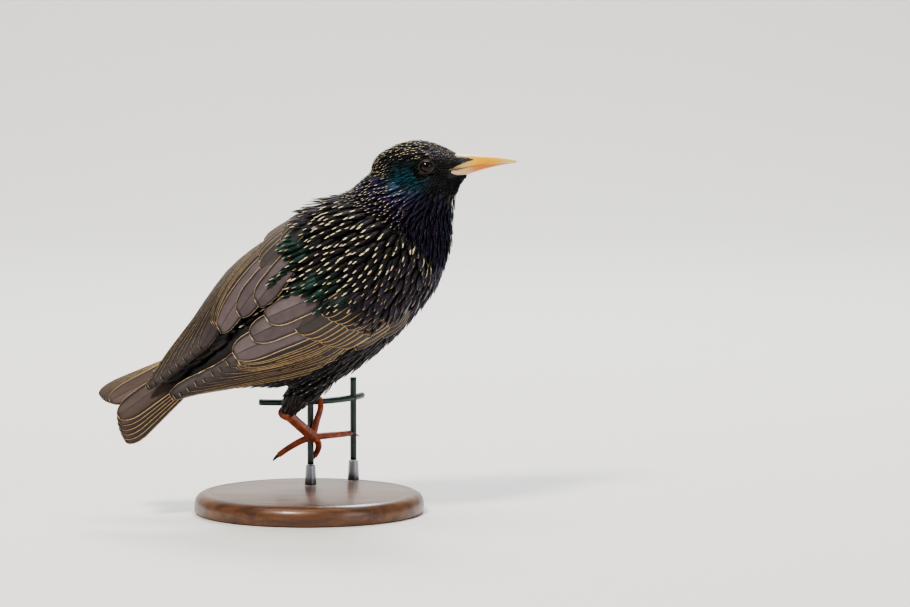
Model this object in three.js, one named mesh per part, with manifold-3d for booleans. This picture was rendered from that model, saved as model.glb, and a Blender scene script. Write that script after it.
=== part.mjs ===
// A life-size starling holding on to a cut piece of wire mesh, on a plain round stand.
// Millimetres, +Z up. The origin is the centre of the base's underside. The bill points to +X.
import * as THREE from "three";
import { mergeVertices } from "three/addons/utils/BufferGeometryUtils.js";
import Module from "manifold-3d";

const { Vector3 } = THREE;
const { degToRad, lerp, clamp } = THREE.MathUtils;

// Driving dimensions
const gap = 0.3; // air between two touching parts
const birdPlace = new Vector3(-16, -22, 88); // the middle of the back, seen from the origin
const poseLean = degToRad(5.5); // the plane through bill and tail leans back by this much
const bodyPitch = degToRad(31.4); // the tail-to-breast line climbs by this much
const wireRadius = 1.4;
const cageRadius = 38; // the mesh was part of a tube of this radius
const cageCentre = new Vector3(1.65, 77.4, 0).add(birdPlace); // where that tube's axis stood
const ringHeight = -42 + birdPlace.z;
const wireAngles = [22.2, 59.8]; // degrees round the tube to the two upright wires
const wireTop = 9; // the wires are cut this far above the ring
const rodHeight = 9;
const rodRadius = 2.6;
const baseRadius = 50;
const baseHeight = 9;

// The trunk along its own axis: place from the middle of the back, half width, height of the
// back above the axis, depth of the belly below it, and how far the back is rolled to the viewer
const trunk = [
  { at: -64, wide: 5, back: 3.5, belly: 4.5, roll: 58 },
  { at: -50, wide: 8.5, back: 5, belly: 8.5, roll: 58 },
  { at: -36, wide: 12, back: 7.5, belly: 16, roll: 58 },
  { at: -22, wide: 18, back: 12, belly: 26, roll: 58 },
  { at: -8, wide: 24.5, back: 17, belly: 35.5, roll: 58 },
  { at: 8, wide: 28, back: 21, belly: 47, roll: 57 },
  { at: 25, wide: 29, back: 23, belly: 45, roll: 55 },
  { at: 42, wide: 28, back: 23.5, belly: 39, roll: 52.5 },
  { at: 56, wide: 26, back: 22.5, belly: 32.5, roll: 50 },
  { at: 68, wide: 22, back: 18.5, belly: 26.5, roll: 49 },
  { at: 77, wide: 15, back: 12, belly: 19, roll: 48 },
  { at: 82, wide: 6, back: 5, belly: 8, roll: 48 },
];

// The sheet that both folded wings lie on: as the trunk, with its lift above the axis, and how
// far round to the right the line between the wings has slipped
const wingSheet = [
  { at: -68, wide: 8, back: 2.5, belly: 3, lift: 4.5, slip: 62 },
  { at: -55, wide: 11, back: 3.5, belly: 5, lift: 4.5, slip: 54 },
  { at: -42, wide: 13.5, back: 6, belly: 10, lift: 3.5, slip: 40 },
  { at: -30, wide: 17, back: 9, belly: 18, lift: 2, slip: 30 },
  { at: -18, wide: 22, back: 14, belly: 29, lift: 0.8, slip: 23 },
  { at: -5, wide: 27, back: 19, belly: 39, lift: 0, slip: 18.5 },
  { at: 10, wide: 29.6, back: 22.6, belly: 48.6, lift: 0, slip: 18 },
  { at: 25, wide: 30.3, back: 24.2, belly: 46.5, lift: 0, slip: 16.5 },
  { at: 42, wide: 29.4, back: 24.7, belly: 40.4, lift: 0, slip: 14 },
  { at: 56, wide: 27.4, back: 23.8, belly: 33.9, lift: 0, slip: 11 },
  { at: 68, wide: 23.4, back: 19.8, belly: 28, lift: 0, slip: 8.5 },
  { at: 78, wide: 15.4, back: 12.4, belly: 19.4, lift: 0, slip: 7 },
];

// Neck and head: middle of each section in the bird's plane, the slope of the line through it,
// half height on the nape side and on the throat side, and half width
const neckSections = [
  { x: 40, z: 24, slope: 40, nape: 20, throat: 20, wide: 20 },
  { x: 48, z: 31, slope: 50, nape: 24.5, throat: 27, wide: 22.5 },
  { x: 54.5, z: 40, slope: 58, nape: 24, throat: 25.5, wide: 20 },
  { x: 59.5, z: 49, slope: 65, nape: 21.5, throat: 20, wide: 15.8 },
  { x: 62.5, z: 56, slope: 70, nape: 20, throat: 18, wide: 13.6 },
  { x: 64, z: 61.5, slope: 74, nape: 18, throat: 18.6, wide: 11.8 },
  { x: 65, z: 66, slope: 80, nape: 13, throat: 9, wide: 7.5 },
];
const headSections = [
  { x: 45.5, z: 61.5, slope: 40, nape: 3, throat: 3, wide: 3.5 },
  { x: 48.5, z: 62.2, slope: 25, nape: 6.8, throat: 7, wide: 7.6 },
  { x: 54, z: 63, slope: 14, nape: 9.8, throat: 9.5, wide: 10.6 },
  { x: 60, z: 63.4, slope: 8, nape: 11.8, throat: 11.6, wide: 11.8 },
  { x: 66.5, z: 63.6, slope: 5, nape: 12.2, throat: 12, wide: 11.4 },
  { x: 72, z: 63.9, slope: 4, nape: 10.7, throat: 11.3, wide: 9.6 },
  { x: 77, z: 64.2, slope: 4, nape: 8.2, throat: 10.6, wide: 7.4 },
  { x: 81.5, z: 64.4, slope: 4, nape: 5.5, throat: 8.6, wide: 5.2 },
  { x: 85, z: 64.2, slope: 4, nape: 3, throat: 4.2, wide: 3.2 },
];
const neckCut = { x: 55, z: 39, slope: 57.5 }; // where torso and neck part
const headCut = { x: 62.5, z: 55.5, slope: 70 }; // where neck and head part
const tailCutAt = -38; // where torso and tail part, along the trunk

// The bill: the ridge, the closed mouth line and the lower edge, from root to tip
const billSections = [
  { x: 79.5, ridge: 70, mouth: 62.6, keel: 59.4, wide: 4.6 },
  { x: 84, ridge: 69.5, mouth: 63.5, keel: 60.6, wide: 4.1 },
  { x: 90, ridge: 69.2, mouth: 64.6, keel: 62.5, wide: 3.2 },
  { x: 96, ridge: 68.7, mouth: 65.5, keel: 64.1, wide: 2.3 },
  { x: 101.5, ridge: 67.9, mouth: 66, keel: 65.2, wide: 1.5 },
  { x: 106, ridge: 66.8, mouth: 66.2, keel: 65.8, wide: 0.7 },
];
const nostril = { x: 86.5, z: 66.6, long: 2.4, high: 0.8 };

const eye = { x: 67.3, z: 63.9, radius: 3.4, out: 8.9, lid: 3.1, lidThick: 0.75 };

// Small helpers

// A smooth curve through the rows of a table, as a function of the key's value
function smooth(rows, key, value) {
  return (t) => {
    const last = rows.length - 1;
    let i = 0;
    while (i < last - 1 && t > rows[i + 1][key]) i += 1;
    const slopeAt = (j) => {
      const a = rows[Math.max(j - 1, 0)];
      const b = rows[Math.min(j + 1, last)];
      return (b[value] - a[value]) / (b[key] - a[key]);
    };
    const step = rows[i + 1][key] - rows[i][key];
    const u = clamp((t - rows[i][key]) / step, 0, 1);
    const [u2, u3] = [u * u, u * u * u];
    return (
      (2 * u3 - 3 * u2 + 1) * rows[i][value] +
      (u3 - 2 * u2 + u) * step * slopeAt(i) +
      (3 * u2 - 2 * u3) * rows[i + 1][value] +
      (u3 - u2) * step * slopeAt(i + 1)
    );
  };
}

// From the bird's plane (forward, away from the viewer, up) to the part's frame
function turned(x, away, up) {
  const [c, s] = [Math.cos(poseLean), Math.sin(poseLean)];
  return new Vector3(x, away * c + up * s, up * c - away * s);
}
const posed = (x, away, up) => turned(x, away, up).add(birdPlace);

// A closed body through rings of equally many points. Each end is closed by a ladder of faces
// across its ring, which also suits a thin bent strip.
// The second half of each ring is split the other way, so that thin vanes match on both faces.
function loft(rings) {
  const sides = rings[0].length;
  const points = rings.flat();
  const faces = [];
  for (let i = 0; i < rings.length - 1; i += 1) {
    for (let j = 0; j < sides; j += 1) {
      const [a, b] = [i * sides + j, i * sides + ((j + 1) % sides)];
      const [c, d] = [a + sides, b + sides];
      if (j < sides / 2) faces.push(a, b, d, a, d, c);
      else faces.push(a, b, c, b, d, c);
    }
  }
  for (const [start, flip] of [
    [0, true],
    [(rings.length - 1) * sides, false],
  ]) {
    const close = (a, b, c) =>
      faces.push(...(flip ? [a, c, b] : [a, b, c]).map((corner) => start + corner));
    let [low, high] = [0, sides - 1];
    while (high - low > 1) {
      close(low, low + 1, high);
      low += 1;
      if (high - low > 1) {
        close(low, high - 1, high);
        high -= 1;
      }
    }
  }
  return new THREE.BufferGeometry().setFromPoints(points).setIndex(faces);
}

const wasm = await Module();
wasm.setup();

function toSolid(geometry) {
  const bare = geometry.clone();
  bare.deleteAttribute("normal");
  bare.deleteAttribute("uv");
  const merged = mergeVertices(bare, 1e-4);
  const solid = new wasm.Manifold(
    new wasm.Mesh({
      numProp: 3,
      vertProperties: new Float32Array(merged.attributes.position.array),
      triVerts: new Uint32Array(merged.index.array),
    }),
  );
  if (solid.volume() >= 0) return solid;
  for (let i = 0; i < merged.index.array.length; i += 3) {
    const [a, b] = [merged.index.array[i], merged.index.array[i + 1]];
    merged.index.array[i] = b;
    merged.index.array[i + 1] = a;
  }
  return toSolid(merged);
}

const join = (geometries) => wasm.Manifold.union(geometries.map(toSolid));

// The largest closed surface of a solid, as a geometry
function toGeometry(solid) {
  const [largest] = solid.decompose().sort((a, b) => b.volume() - a.volume());
  const mesh = largest.getMesh();
  return new THREE.BufferGeometry()
    .setAttribute("position", new THREE.BufferAttribute(mesh.vertProperties, 3))
    .setIndex(new THREE.BufferAttribute(mesh.triVerts, 1));
}

// A tapered round limb along a curve, with radii spread evenly from its root to its tip
const smoothLine = (points) => new THREE.CatmullRomCurve3(points, false, "centripetal");
function limb(curve, radii, sides, steps) {
  const count = (radii.length - 1) * steps;
  const frames = curve.computeFrenetFrames(count, false);
  const rings = [];
  for (let i = 0; i <= count; i += 1) {
    const middle = curve.getPoint(i / count);
    const place = i / steps;
    const low = Math.min(Math.floor(place), radii.length - 2);
    const radius = lerp(radii[low], radii[low + 1], place - low);
    rings.push(
      Array.from({ length: sides }, (_, j) => {
        const turn = (j / sides) * 2 * Math.PI;
        return middle
          .clone()
          .addScaledVector(frames.normals[i], Math.cos(turn) * radius)
          .addScaledVector(frames.binormals[i], Math.sin(turn) * radius);
      }),
    );
  }
  return loft(rings);
}

// The trunk's chart: a place along the axis, degrees round from the back towards the right side,
// and a height above the surface
const forward = [Math.cos(bodyPitch), Math.sin(bodyPitch)];
function bodyAxes(rollDegrees) {
  const roll = degToRad(rollDegrees);
  const [c, s] = [Math.cos(roll), Math.sin(roll)];
  return {
    right: turned(forward[1] * s, -c, -forward[0] * s),
    back: turned(-forward[1] * c, -s, forward[0] * c),
  };
}
const rollAt = smooth(trunk, "at", "roll");
function chart(rows) {
  const [wide, back, belly] = ["wide", "back", "belly"].map((name) => smooth(rows, "at", name));
  const lift = rows[0].lift === undefined ? () => 0 : smooth(rows, "at", "lift");
  return (at, degrees, height) => {
    const axes = bodyAxes(rollAt(at));
    const [c, s] = [Math.cos(degToRad(degrees)), Math.sin(degToRad(degrees))];
    const up = c > 0 ? back(at) : belly(at);
    const full = c > 0 ? 1 : 1 + 0.45 * s * s * c * c; // the belly is squarer than an ellipse
    return posed(forward[0] * at, 0, forward[1] * at)
      .addScaledVector(axes.right, (wide(at) * full + height) * s)
      .addScaledVector(axes.back, (up * full + height) * c + lift(at));
  };
}
const onTrunk = chart(trunk);
const onSheet = chart(wingSheet);
const slipAt = smooth(wingSheet, "at", "slip");

// The flesh as one body, grown outwards by a margin
const trunkSides = 24;
function sectionRing({ x, z, slope, nape, throat, wide }, grow, sides) {
  const angle = degToRad(slope);
  return Array.from({ length: sides }, (_, j) => {
    const turn = (j / sides) * 2 * Math.PI;
    const tall = (Math.cos(turn) > 0 ? nape : throat) + grow;
    const up = Math.cos(turn) * tall;
    return posed(
      x - Math.sin(angle) * up,
      -Math.sin(turn) * (wide + grow),
      z + Math.cos(angle) * up,
    );
  });
}
function flesh(grow) {
  const stations = [-64, -50, -36, -22, -8, 8, 25, 42, 54, 64, 71, 77, 82];
  const trunkRings = stations.map((at) =>
    Array.from({ length: trunkSides }, (_, j) => onTrunk(at, (j / trunkSides) * 360, grow)),
  );
  return join([
    loft(trunkRings),
    loft(neckSections.map((section) => sectionRing(section, grow, 20))),
    loft(headSections.map((section) => sectionRing(section, grow, 20))),
  ]);
}

// Sections with one more smoothly placed between each two
function refine(rows) {
  const keyed = rows.map((row, i) => ({ ...row, key: i }));
  const names = Object.keys(rows[0]);
  const curves = names.map((name) => smooth(keyed, "key", name));
  return Array.from({ length: rows.length * 2 - 1 }, (_, i) =>
    Object.fromEntries(names.map((name, n) => [name, curves[n](i / 2)])),
  );
}

// A cutting plane across the neck: its normal and offset in the part's frame
function cutPlane({ x, z, slope }) {
  const angle = degToRad(slope);
  const normal = turned(Math.cos(angle), 0, Math.sin(angle));
  return { normal, offset: normal.dot(posed(x, 0, z)) };
}
const axisNormal = turned(forward[0], 0, forward[1]);
const tailPlane = {
  normal: axisNormal,
  offset: axisNormal.dot(posed(forward[0] * tailCutAt, 0, forward[1] * tailCutAt)),
};
const above = (solid, plane) =>
  solid.trimByPlane(plane.normal.toArray(), plane.offset + gap / 2);
const below = (solid, plane) =>
  solid.trimByPlane(plane.normal.clone().negate().toArray(), gap / 2 - plane.offset);

// Even draws from -1 to 1 that are the same on every run
let seed = 7;
function wobble() {
  seed = (seed * 48271) % 2147483647;
  return (seed / 2147483647) * 2 - 1;
}

// A feather vane along a line on the wing sheet. Its outer edge stands at "rise" and its inner
// edge at "sink" above the sheet; the root dips by "dip". Degrees count from the wings' line.
const vaneShape = [
  { t: 0, width: 0.5, dip: 1 },
  { t: 0.4, width: 0.96, dip: 0.15 },
  { t: 0.78, width: 0.96, dip: 0 },
  { t: 0.94, width: 0.66, dip: 0 },
  { t: 1, width: 0.22, dip: 0 },
];
const vaneThick = 0.6;
const nearest = 1.2; // degrees that every vane keeps from the line between the wings
function vane(side, { root, bend, tip, half, rise, sink, dip = 1.4 }) {
  const [slide, turn, lie] = [wobble() * 0.5, wobble() * 0.5, wobble() * 0.1];
  const rings = vaneShape.map(({ t, width, dip: share }) => {
    const [a, b, c] = [(1 - t) ** 2, 2 * t * (1 - t), t * t];
    const at = a * root[0] + b * bend[0] + c * tip[0] + slide;
    const round = a * root[1] + b * bend[1] + c * tip[1] + turn;
    const line = slipAt(at) + side * round;
    const perDegree = onSheet(at, line - 1, 0).distanceTo(onSheet(at, line + 1, 0)) / 2;
    const spread = (half * width) / perDegree;
    const level = (across) => lerp(sink, rise, (across + 1) / 2) - dip * share + lie;
    const place = (across, drop) => {
      const away = Math.max(round + across * spread, nearest + turn);
      return onSheet(at, slipAt(at) + side * away, level(across) + drop);
    };
    return [place(-1, 0), place(1, 0), place(1, -vaneThick), place(-1, -vaneThick)];
  });
  return loft(rings);
}

// A row of feathers: each value runs from the outermost feather's to the innermost one's
function featherRow(count, outer, inner) {
  return Array.from({ length: count }, (_, k) => {
    const t = count === 1 ? 0 : k / (count - 1);
    const mix = (name) =>
      Array.isArray(outer[name])
        ? outer[name].map((v, n) => lerp(v, inner[name][n], t))
        : lerp(outer[name], inner[name], t);
    return Object.fromEntries(Object.keys(outer).map((name) => [name, mix(name)]));
  });
}

// Steps from the wing's tip back to each primary's tip
const primarySteps = [0, 1, 5, 10, 15, 20, 24, 28];
const wingTips = { right: -54, left: -61 };
function wingFeathers(wingTip) {
  const primaries = featherRow(
    primarySteps.length,
    { root: [30, 79], bend: [-4, 76], tip: [wingTip, 36], half: 4.6, rise: 1.8, sink: -0.3 },
    { root: [26, 60], bend: [0, 52], tip: [wingTip, 22], half: 4.8, rise: 1.8, sink: -0.3 },
  );
  primaries.forEach((feather, k) => {
    feather.tip[0] = wingTip + primarySteps[k];
  });
  const secondaries = featherRow(
    5,
    { root: [26, 62], bend: [4, 52], tip: [-23, 32], half: 5.2, rise: 2, sink: 0.1 },
    { root: [24, 44], bend: [4, 38], tip: [-20, 24], half: 5.4, rise: 2, sink: 0.1 },
  );
  const tertials = featherRow(
    3,
    { root: [22, 37], bend: [2, 28], tip: [-21, 18], half: 6, rise: 2.5, sink: 1 },
    { root: [24, 20], bend: [12, 13], tip: [-1, 8], half: 5.6, rise: 2.9, sink: 1.5 },
  );
  const greaterCoverts = featherRow(
    7,
    { root: [40, 80], bend: [30, 78], tip: [20, 74], half: 4.6, rise: 2.6, sink: 1.3 },
    { root: [30, 36], bend: [19, 34], tip: [7, 30], half: 5, rise: 3, sink: 1.6 },
  );
  const medianCoverts = featherRow(
    5,
    { root: [48, 83], bend: [41, 81], tip: [34, 78], half: 4.8, rise: 3, sink: 2 },
    { root: [39, 42], bend: [31, 40], tip: [23, 37], half: 5.2, rise: 3.4, sink: 2.3 },
  );
  const primaryCoverts = featherRow(
    3,
    { root: [54, 92], bend: [42, 88], tip: [25, 83], half: 3.4, rise: 2.4, sink: 1 },
    { root: [52, 84], bend: [42, 80], tip: [31, 76], half: 3.4, rise: 2.7, sink: 1.4 },
  );
  const alula = featherRow(
    2,
    { root: [62, 99], bend: [52, 97], tip: [40, 91], half: 3.2, rise: 2.6, sink: 1.4 },
    { root: [61, 92], bend: [54, 90], tip: [46, 86], half: 3, rise: 2.9, sink: 1.7 },
  );
  const scapulars = featherRow(
    4,
    { root: [33, 34], bend: [23, 31], tip: [11, 28], half: 5, rise: 3.7, sink: 2.5 },
    { root: [36, 10], bend: [25, 9], tip: [13, 8], half: 5, rise: 3.4, sink: 2.3 },
  );
  return [
    primaries,
    secondaries,
    tertials,
    greaterCoverts,
    medianCoverts,
    primaryCoverts,
    alula,
    scapulars,
  ].flat();
}

// The folded arm under the feathers: from the trunk's surface out to the small coverts
const armStations = [
  { at: -18, inner: 12, outer: 66, high: 0.2 },
  { at: -4, inner: 6, outer: 76, high: 0.8 },
  { at: 14, inner: 5, outer: 80, high: 1.2 },
  { at: 32, inner: 6, outer: 84, high: 1.9 },
  { at: 46, inner: 10, outer: 92, high: 2.4 },
  { at: 58, inner: 18, outer: 100, high: 2.2 },
  { at: 66, inner: 30, outer: 103, high: 1.5 },
  { at: 72, inner: 48, outer: 98, high: 0.6 },
];
function arm(side) {
  const across = 7;
  return loft(
    armStations.map(({ at, inner, outer, high }) => {
      const shares = Array.from({ length: across }, (_, j) => j / (across - 1));
      const round = (share) => slipAt(at) + side * lerp(inner, outer, share);
      const swell = (share) => high * Math.sqrt(Math.sin(Math.PI * clamp(share, 0.06, 0.94)));
      const top = shares.map((share) => onSheet(at, round(share), swell(share)));
      const bottom = shares.map((share) => onSheet(at, round(share), -0.75)).reverse();
      return [...top, ...bottom];
    }),
  );
}

const grownFlesh = flesh(gap + 0.05);
function wing(name, side) {
  const vanes = wingFeathers(wingTips[name]).map((feather) => vane(side, feather));
  return toGeometry(join([arm(side), ...vanes]).subtract(grownFlesh));
}

// The tail: six feathers a side, the middle pair on top, over the last taper of the trunk
const tailTip = -81;
const tailNotch = 3; // the middle pair ends this much short
function tailFeather(side, k) {
  const axes = bodyAxes(rollAt(tailTip));
  const inwards = k / 5;
  const tipAt = tailTip + tailNotch * (1 - inwards) ** 2;
  const height = 1.6 - 0.62 * k;
  const rings = vaneShape.map(({ t, width }) => {
    const at = lerp(tailCutAt - 4, tipAt, t);
    const half = 5.4 * width;
    const middle = side * lerp(1.5 + k * 0.5, 4.6 + k * 1.75, t);
    const crown = (r) => height + 0.3 - 0.012 * r * r + 0.3 * (side > 0 ? 1 : 0);
    const place = (r, drop) =>
      posed(forward[0] * at, 0, forward[1] * at)
        .addScaledVector(axes.right, r)
        .addScaledVector(axes.back, crown(r) + drop);
    const [left, right] = [middle - half, middle + half];
    return [place(left, 0), place(right, 0), place(right, -vaneThick), place(left, -vaneThick)];
  });
  return loft(rings);
}

// Feathered thighs
const thighs = {
  right: [posed(26, 12, -10), posed(17, 15, -27), posed(6, 18, -42)],
  left: [posed(16, 24, -4), posed(10, 33, -14), posed(5, 39.5, -23)],
};
const thighRadii = [12, 9, 3.3];
const heels = { right: thighs.right[2], left: thighs.left[2] };
const heelRadius = 3.1;
const balls = { right: posed(17, 43.3, -53), left: posed(10.5, 41.5, -34.6) };
const tarsusRadii = [2.7, 2.3, 2.2, 2.3, 2.5];
const ballRadius = 2.8;
const tarsusEnd = 0.92; // share of the way from the heel to the ball of the foot
const toeRadius = 1.45;

// Each toe runs from the ball of the foot; the last point is where its claw begins
const toes = {
  right: [
    [[15.2, 44, -53.6], [11, 45.2, -55.4], [5.6, 45.8, -58.6], [2, 46.3, -61.2]],
    [[17.6, 43.6, -51], [19, 44.7, -45.5], [20.5, 45.1, -40.5], [20, 46.3, -36]],
    [[18.5, 43.6, -53], [23.5, 46.7, -52.6], [28.7, 52.8, -52.3], [33.2, 59.3, -52]],
    [[18.4, 44, -54], [19.6, 46.8, -56.6], [19, 49.5, -59.4], [17.6, 50.3, -61.8]],
  ],
  left: [
    [[10.1, 41, -36], [8.9, 40.6, -39.5], [9.1, 42.6, -42.6]],
    [[10, 42.4, -33.9], [8.2, 45.8, -33.7], [7.2, 49, -35.4]],
    [[10.9, 42.8, -33.8], [11, 46.4, -33.6], [11.2, 49.6, -36]],
    [[11.5, 42.2, -34], [13.6, 44.8, -33.8], [15.2, 48, -35.4]],
  ],
};
const clawTips = {
  right: [[-0.6, 47.4, -64], [17.8, 51.1, -35.4], [37.3, 62.1, -53.4], [15.6, 48.5, -65.2]],
  left: [[9.9, 46.2, -43.6], [6.6, 51.2, -39.2], [11.3, 50.8, -40.6], [16.6, 50.2, -39.6]],
};
const clawRadii = [0.9, 0.65, 0.18];
const clawBend = 2.4; // how far a claw carries on along its toe before it hooks down

const toeLine = (name, k) =>
  smoothLine([balls[name], ...toes[name][k].map((p) => posed(...p))]);

function knuckleAt(place, radius) {
  const knuckle = new THREE.SphereGeometry(radius, 10, 6);
  return knuckle.translate(...place.toArray());
}

// The end of the tarsus with room round it
function shankRoom(name) {
  const [heel, ball] = [heels[name], balls[name]];
  const past = tarsusEnd + gap / heel.distanceTo(ball);
  return new THREE.LineCurve3(heel.clone().lerp(ball, 0.3), heel.clone().lerp(ball, past));
}

function foot(name) {
  const ball = balls[name];
  const pieces = toes[name].map((_, k) => {
    const curve = toeLine(name, k);
    const radii = curve.points.map((_, i) => toeRadius * (i === 0 ? 1.45 : 1 - 0.05 * i));
    return limb(curve, radii, 6, 2);
  });
  return join([...pieces, knuckleAt(ball, ballRadius)]).subtract(
    join([limb(shankRoom(name), [2.4 + gap, 2.5 + gap], 10, 1)]),
  );
}

function claw(name, k) {
  const line = toeLine(name, k);
  const along = line.getTangent(1);
  const root = line.getPoint(1).addScaledVector(along, gap);
  const bend = root.clone().addScaledVector(along, clawBend);
  const tip = posed(...clawTips[name][k]);
  return limb(new THREE.QuadraticBezierCurve3(root, bend, tip), clawRadii, 6, 3);
}

// Wires of the cut mesh, fused where they cross
function onCage(degrees, height) {
  const turn = degToRad(degrees);
  return new Vector3(
    cageCentre.x + Math.sin(turn) * cageRadius,
    cageCentre.y - Math.cos(turn) * cageRadius,
    height,
  );
}
const wireFoot = baseHeight + rodHeight + gap;
function meshWires(grow) {
  const section = new THREE.Shape().absarc(0, 0, wireRadius + grow, 0, 2 * Math.PI);
  const bend = new THREE.CatmullRomCurve3(
    Array.from({ length: 9 }, (_, i) => onCage(lerp(-12, 74, i / 8), ringHeight)),
  );
  const ring = new THREE.ExtrudeGeometry(section, {
    steps: 12,
    curveSegments: 4,
    extrudePath: bend,
  });
  const uprights = wireAngles.map((degrees) => {
    const length = ringHeight + wireTop - wireFoot;
    const wire = new THREE.CylinderGeometry(wireRadius + grow, wireRadius + grow, length, 8);
    wire.rotateX(Math.PI / 2);
    wire.translate(...onCage(degrees, wireFoot + length / 2).toArray());
    return wire;
  });
  return join([ring, ...uprights]);
}

// Materials, one for each surface
const coat = (color, roughness) => new THREE.MeshStandardMaterial({ color, roughness });
const materials = {
  plumage: coat(0x17161c, 0.45),
  wing: coat(0x4a3f3a, 0.6),
  tail: coat(0x4b3d38, 0.6),
  bill: coat(0xe9c84a, 0.35),
  eye: coat(0x120b09, 0.08),
  skin: coat(0x8c3b22, 0.5),
  claw: coat(0x2a1e18, 0.4),
  wire: coat(0x0f3a2c, 0.3),
  wood: coat(0x6a4a30, 0.55),
  metal: new THREE.MeshStandardMaterial({ color: 0x6c6f72, roughness: 0.35, metalness: 1 }),
};

const starling = new THREE.Group();
function add(name, geometry, material) {
  const mesh = new THREE.Mesh(geometry, material);
  mesh.name = name;
  starling.add(mesh);
  return mesh;
}

// Flesh, parted with thin cuts
const neckPlane = cutPlane(neckCut);
const headPlane = cutPlane(headCut);
const wholeFlesh = flesh(0);
const eyeSides = { right: -1, left: 1 };
const eyePlace = (side) => posed(eye.x, side * eye.out, eye.z);

function billHalf(upper, grow) {
  const rows = refine(billSections);
  return loft(
    rows.map(({ x, ridge, mouth, keel, wide }) => {
      const inner = upper ? mouth + gap / 2 - grow : mouth - gap / 2 + grow;
      const outer = upper ? ridge + grow : keel - grow;
      const sides = 8;
      return Array.from({ length: sides + 1 }, (_, j) => {
        const turn = Math.PI * (j / sides);
        const away = Math.cos(turn) * (wide + grow);
        return posed(x, away, lerp(inner, outer, Math.sin(turn) ** 0.8));
      });
    }),
  );
}

function headSolid() {
  const lids = Object.values(eyeSides).map((side) => {
    const lid = new THREE.TorusGeometry(eye.lid, eye.lidThick, 6, 14);
    lid.rotateX(Math.PI / 2);
    lid.rotateZ(-side * 0.12);
    const place = posed(eye.x, side * (eye.out + 1.5), eye.z);
    lid.translate(...place.toArray());
    return lid;
  });
  const sockets = Object.values(eyeSides).map((side) => {
    const socket = new THREE.SphereGeometry(eye.radius + gap, 14, 8);
    socket.translate(...eyePlace(side).toArray());
    return socket;
  });
  return above(wholeFlesh, headPlane)
    .add(join(lids))
    .subtract(join(sockets))
    .subtract(join([billHalf(true, gap), billHalf(false, gap)]));
}

add("torso", toGeometry(above(below(wholeFlesh, neckPlane), tailPlane)), materials.plumage);
add("neck", toGeometry(below(above(wholeFlesh, neckPlane), headPlane)), materials.plumage);
add("head", toGeometry(headSolid()), materials.plumage);

// Bill, with a nostril sunk in each side of the upper half
const nostrils = Object.values(eyeSides).map((side) => {
  const hole = new THREE.SphereGeometry(1, 10, 8);
  hole.scale(nostril.long / 2, 0.6, nostril.high / 2);
  hole.translate(...posed(nostril.x, side * 3.1, nostril.z).toArray());
  return hole;
});
add("bill_upper", toGeometry(toSolid(billHalf(true, 0)).subtract(join(nostrils))), materials.bill);
add("bill_lower", toGeometry(toSolid(billHalf(false, 0))), materials.bill);

for (const [name, side] of Object.entries(eyeSides)) {
  const ball = add("eye_" + name, new THREE.SphereGeometry(eye.radius, 16, 10), materials.eye);
  ball.position.copy(eyePlace(side));
}

// Wings and tail
add("wing_right", wing("right", 1), materials.wing);
add("wing_left", wing("left", -1), materials.wing);
const tailFeathers = [1, -1].flatMap((side) =>
  Array.from({ length: 6 }, (_, k) => tailFeather(side, k)),
);
const tail = below(wholeFlesh, tailPlane).add(join(tailFeathers));
add("tail", toGeometry(below(tail, tailPlane)), materials.tail);

// Legs
const wireRoom = meshWires(gap);
for (const name of ["right", "left"]) {
  const [heel, ball] = [heels[name], balls[name]];
  const shankLine = new THREE.LineCurve3(heel, heel.clone().lerp(ball, tarsusEnd));
  const thigh = toSolid(limb(smoothLine(thighs[name]), thighRadii, 14, 4))
    .subtract(grownFlesh)
    .subtract(toSolid(knuckleAt(heel, heelRadius + gap)))
    .subtract(toSolid(limb(shankLine, [2.8 + gap, 2.6 + gap], 10, 1)));
  add("thigh_" + name, toGeometry(thigh), materials.plumage);

  const shank = join([limb(shankLine, tarsusRadii, 10, 1), knuckleAt(heel, heelRadius)]);
  const wholeFoot = foot(name).subtract(wireRoom);
  add("tarsus_" + name, toGeometry(shank), materials.skin);
  add("foot_" + name, toGeometry(wholeFoot), materials.skin);
  toes[name].forEach((_, k) => {
    const hook = toSolid(claw(name, k)).subtract(wireRoom);
    add("claw_" + name + "_" + (k + 1), toGeometry(hook), materials.claw);
  });
}

// Cut mesh, rods and base
add("perch_wires", toGeometry(meshWires(0)), materials.wire);
wireAngles.forEach((degrees, i) => {
  const rod = new THREE.CylinderGeometry(rodRadius * 0.8, rodRadius, rodHeight - gap, 20);
  rod.rotateX(Math.PI / 2);
  const mesh = add("stand_rod_" + (i + 1), rod, materials.metal);
  mesh.position.copy(onCage(degrees, baseHeight + gap + (rodHeight - gap) / 2));
});
const baseOutline = new THREE.Path()
  .moveTo(0, 0)
  .lineTo(baseRadius - 1.5, 0)
  .lineTo(baseRadius, 1.5)
  .lineTo(baseRadius, baseHeight - 4)
  .quadraticCurveTo(baseRadius - 0.5, baseHeight - 0.5, baseRadius - 4, baseHeight)
  .lineTo(0, baseHeight);
const base = new THREE.LatheGeometry(baseOutline.getPoints(3), 40);
base.rotateX(Math.PI / 2);
add("stand_base", base, materials.wood);

export default starling;
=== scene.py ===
# The finish of a life-size starling: skin, feathers, bill, eyes, legs, perch and stand
import itertools
import math
from functools import partial

import bmesh
import bpy
import numpy as np
from mathutils import Matrix, Vector
from mathutils.bvhtree import BVHTree


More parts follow.
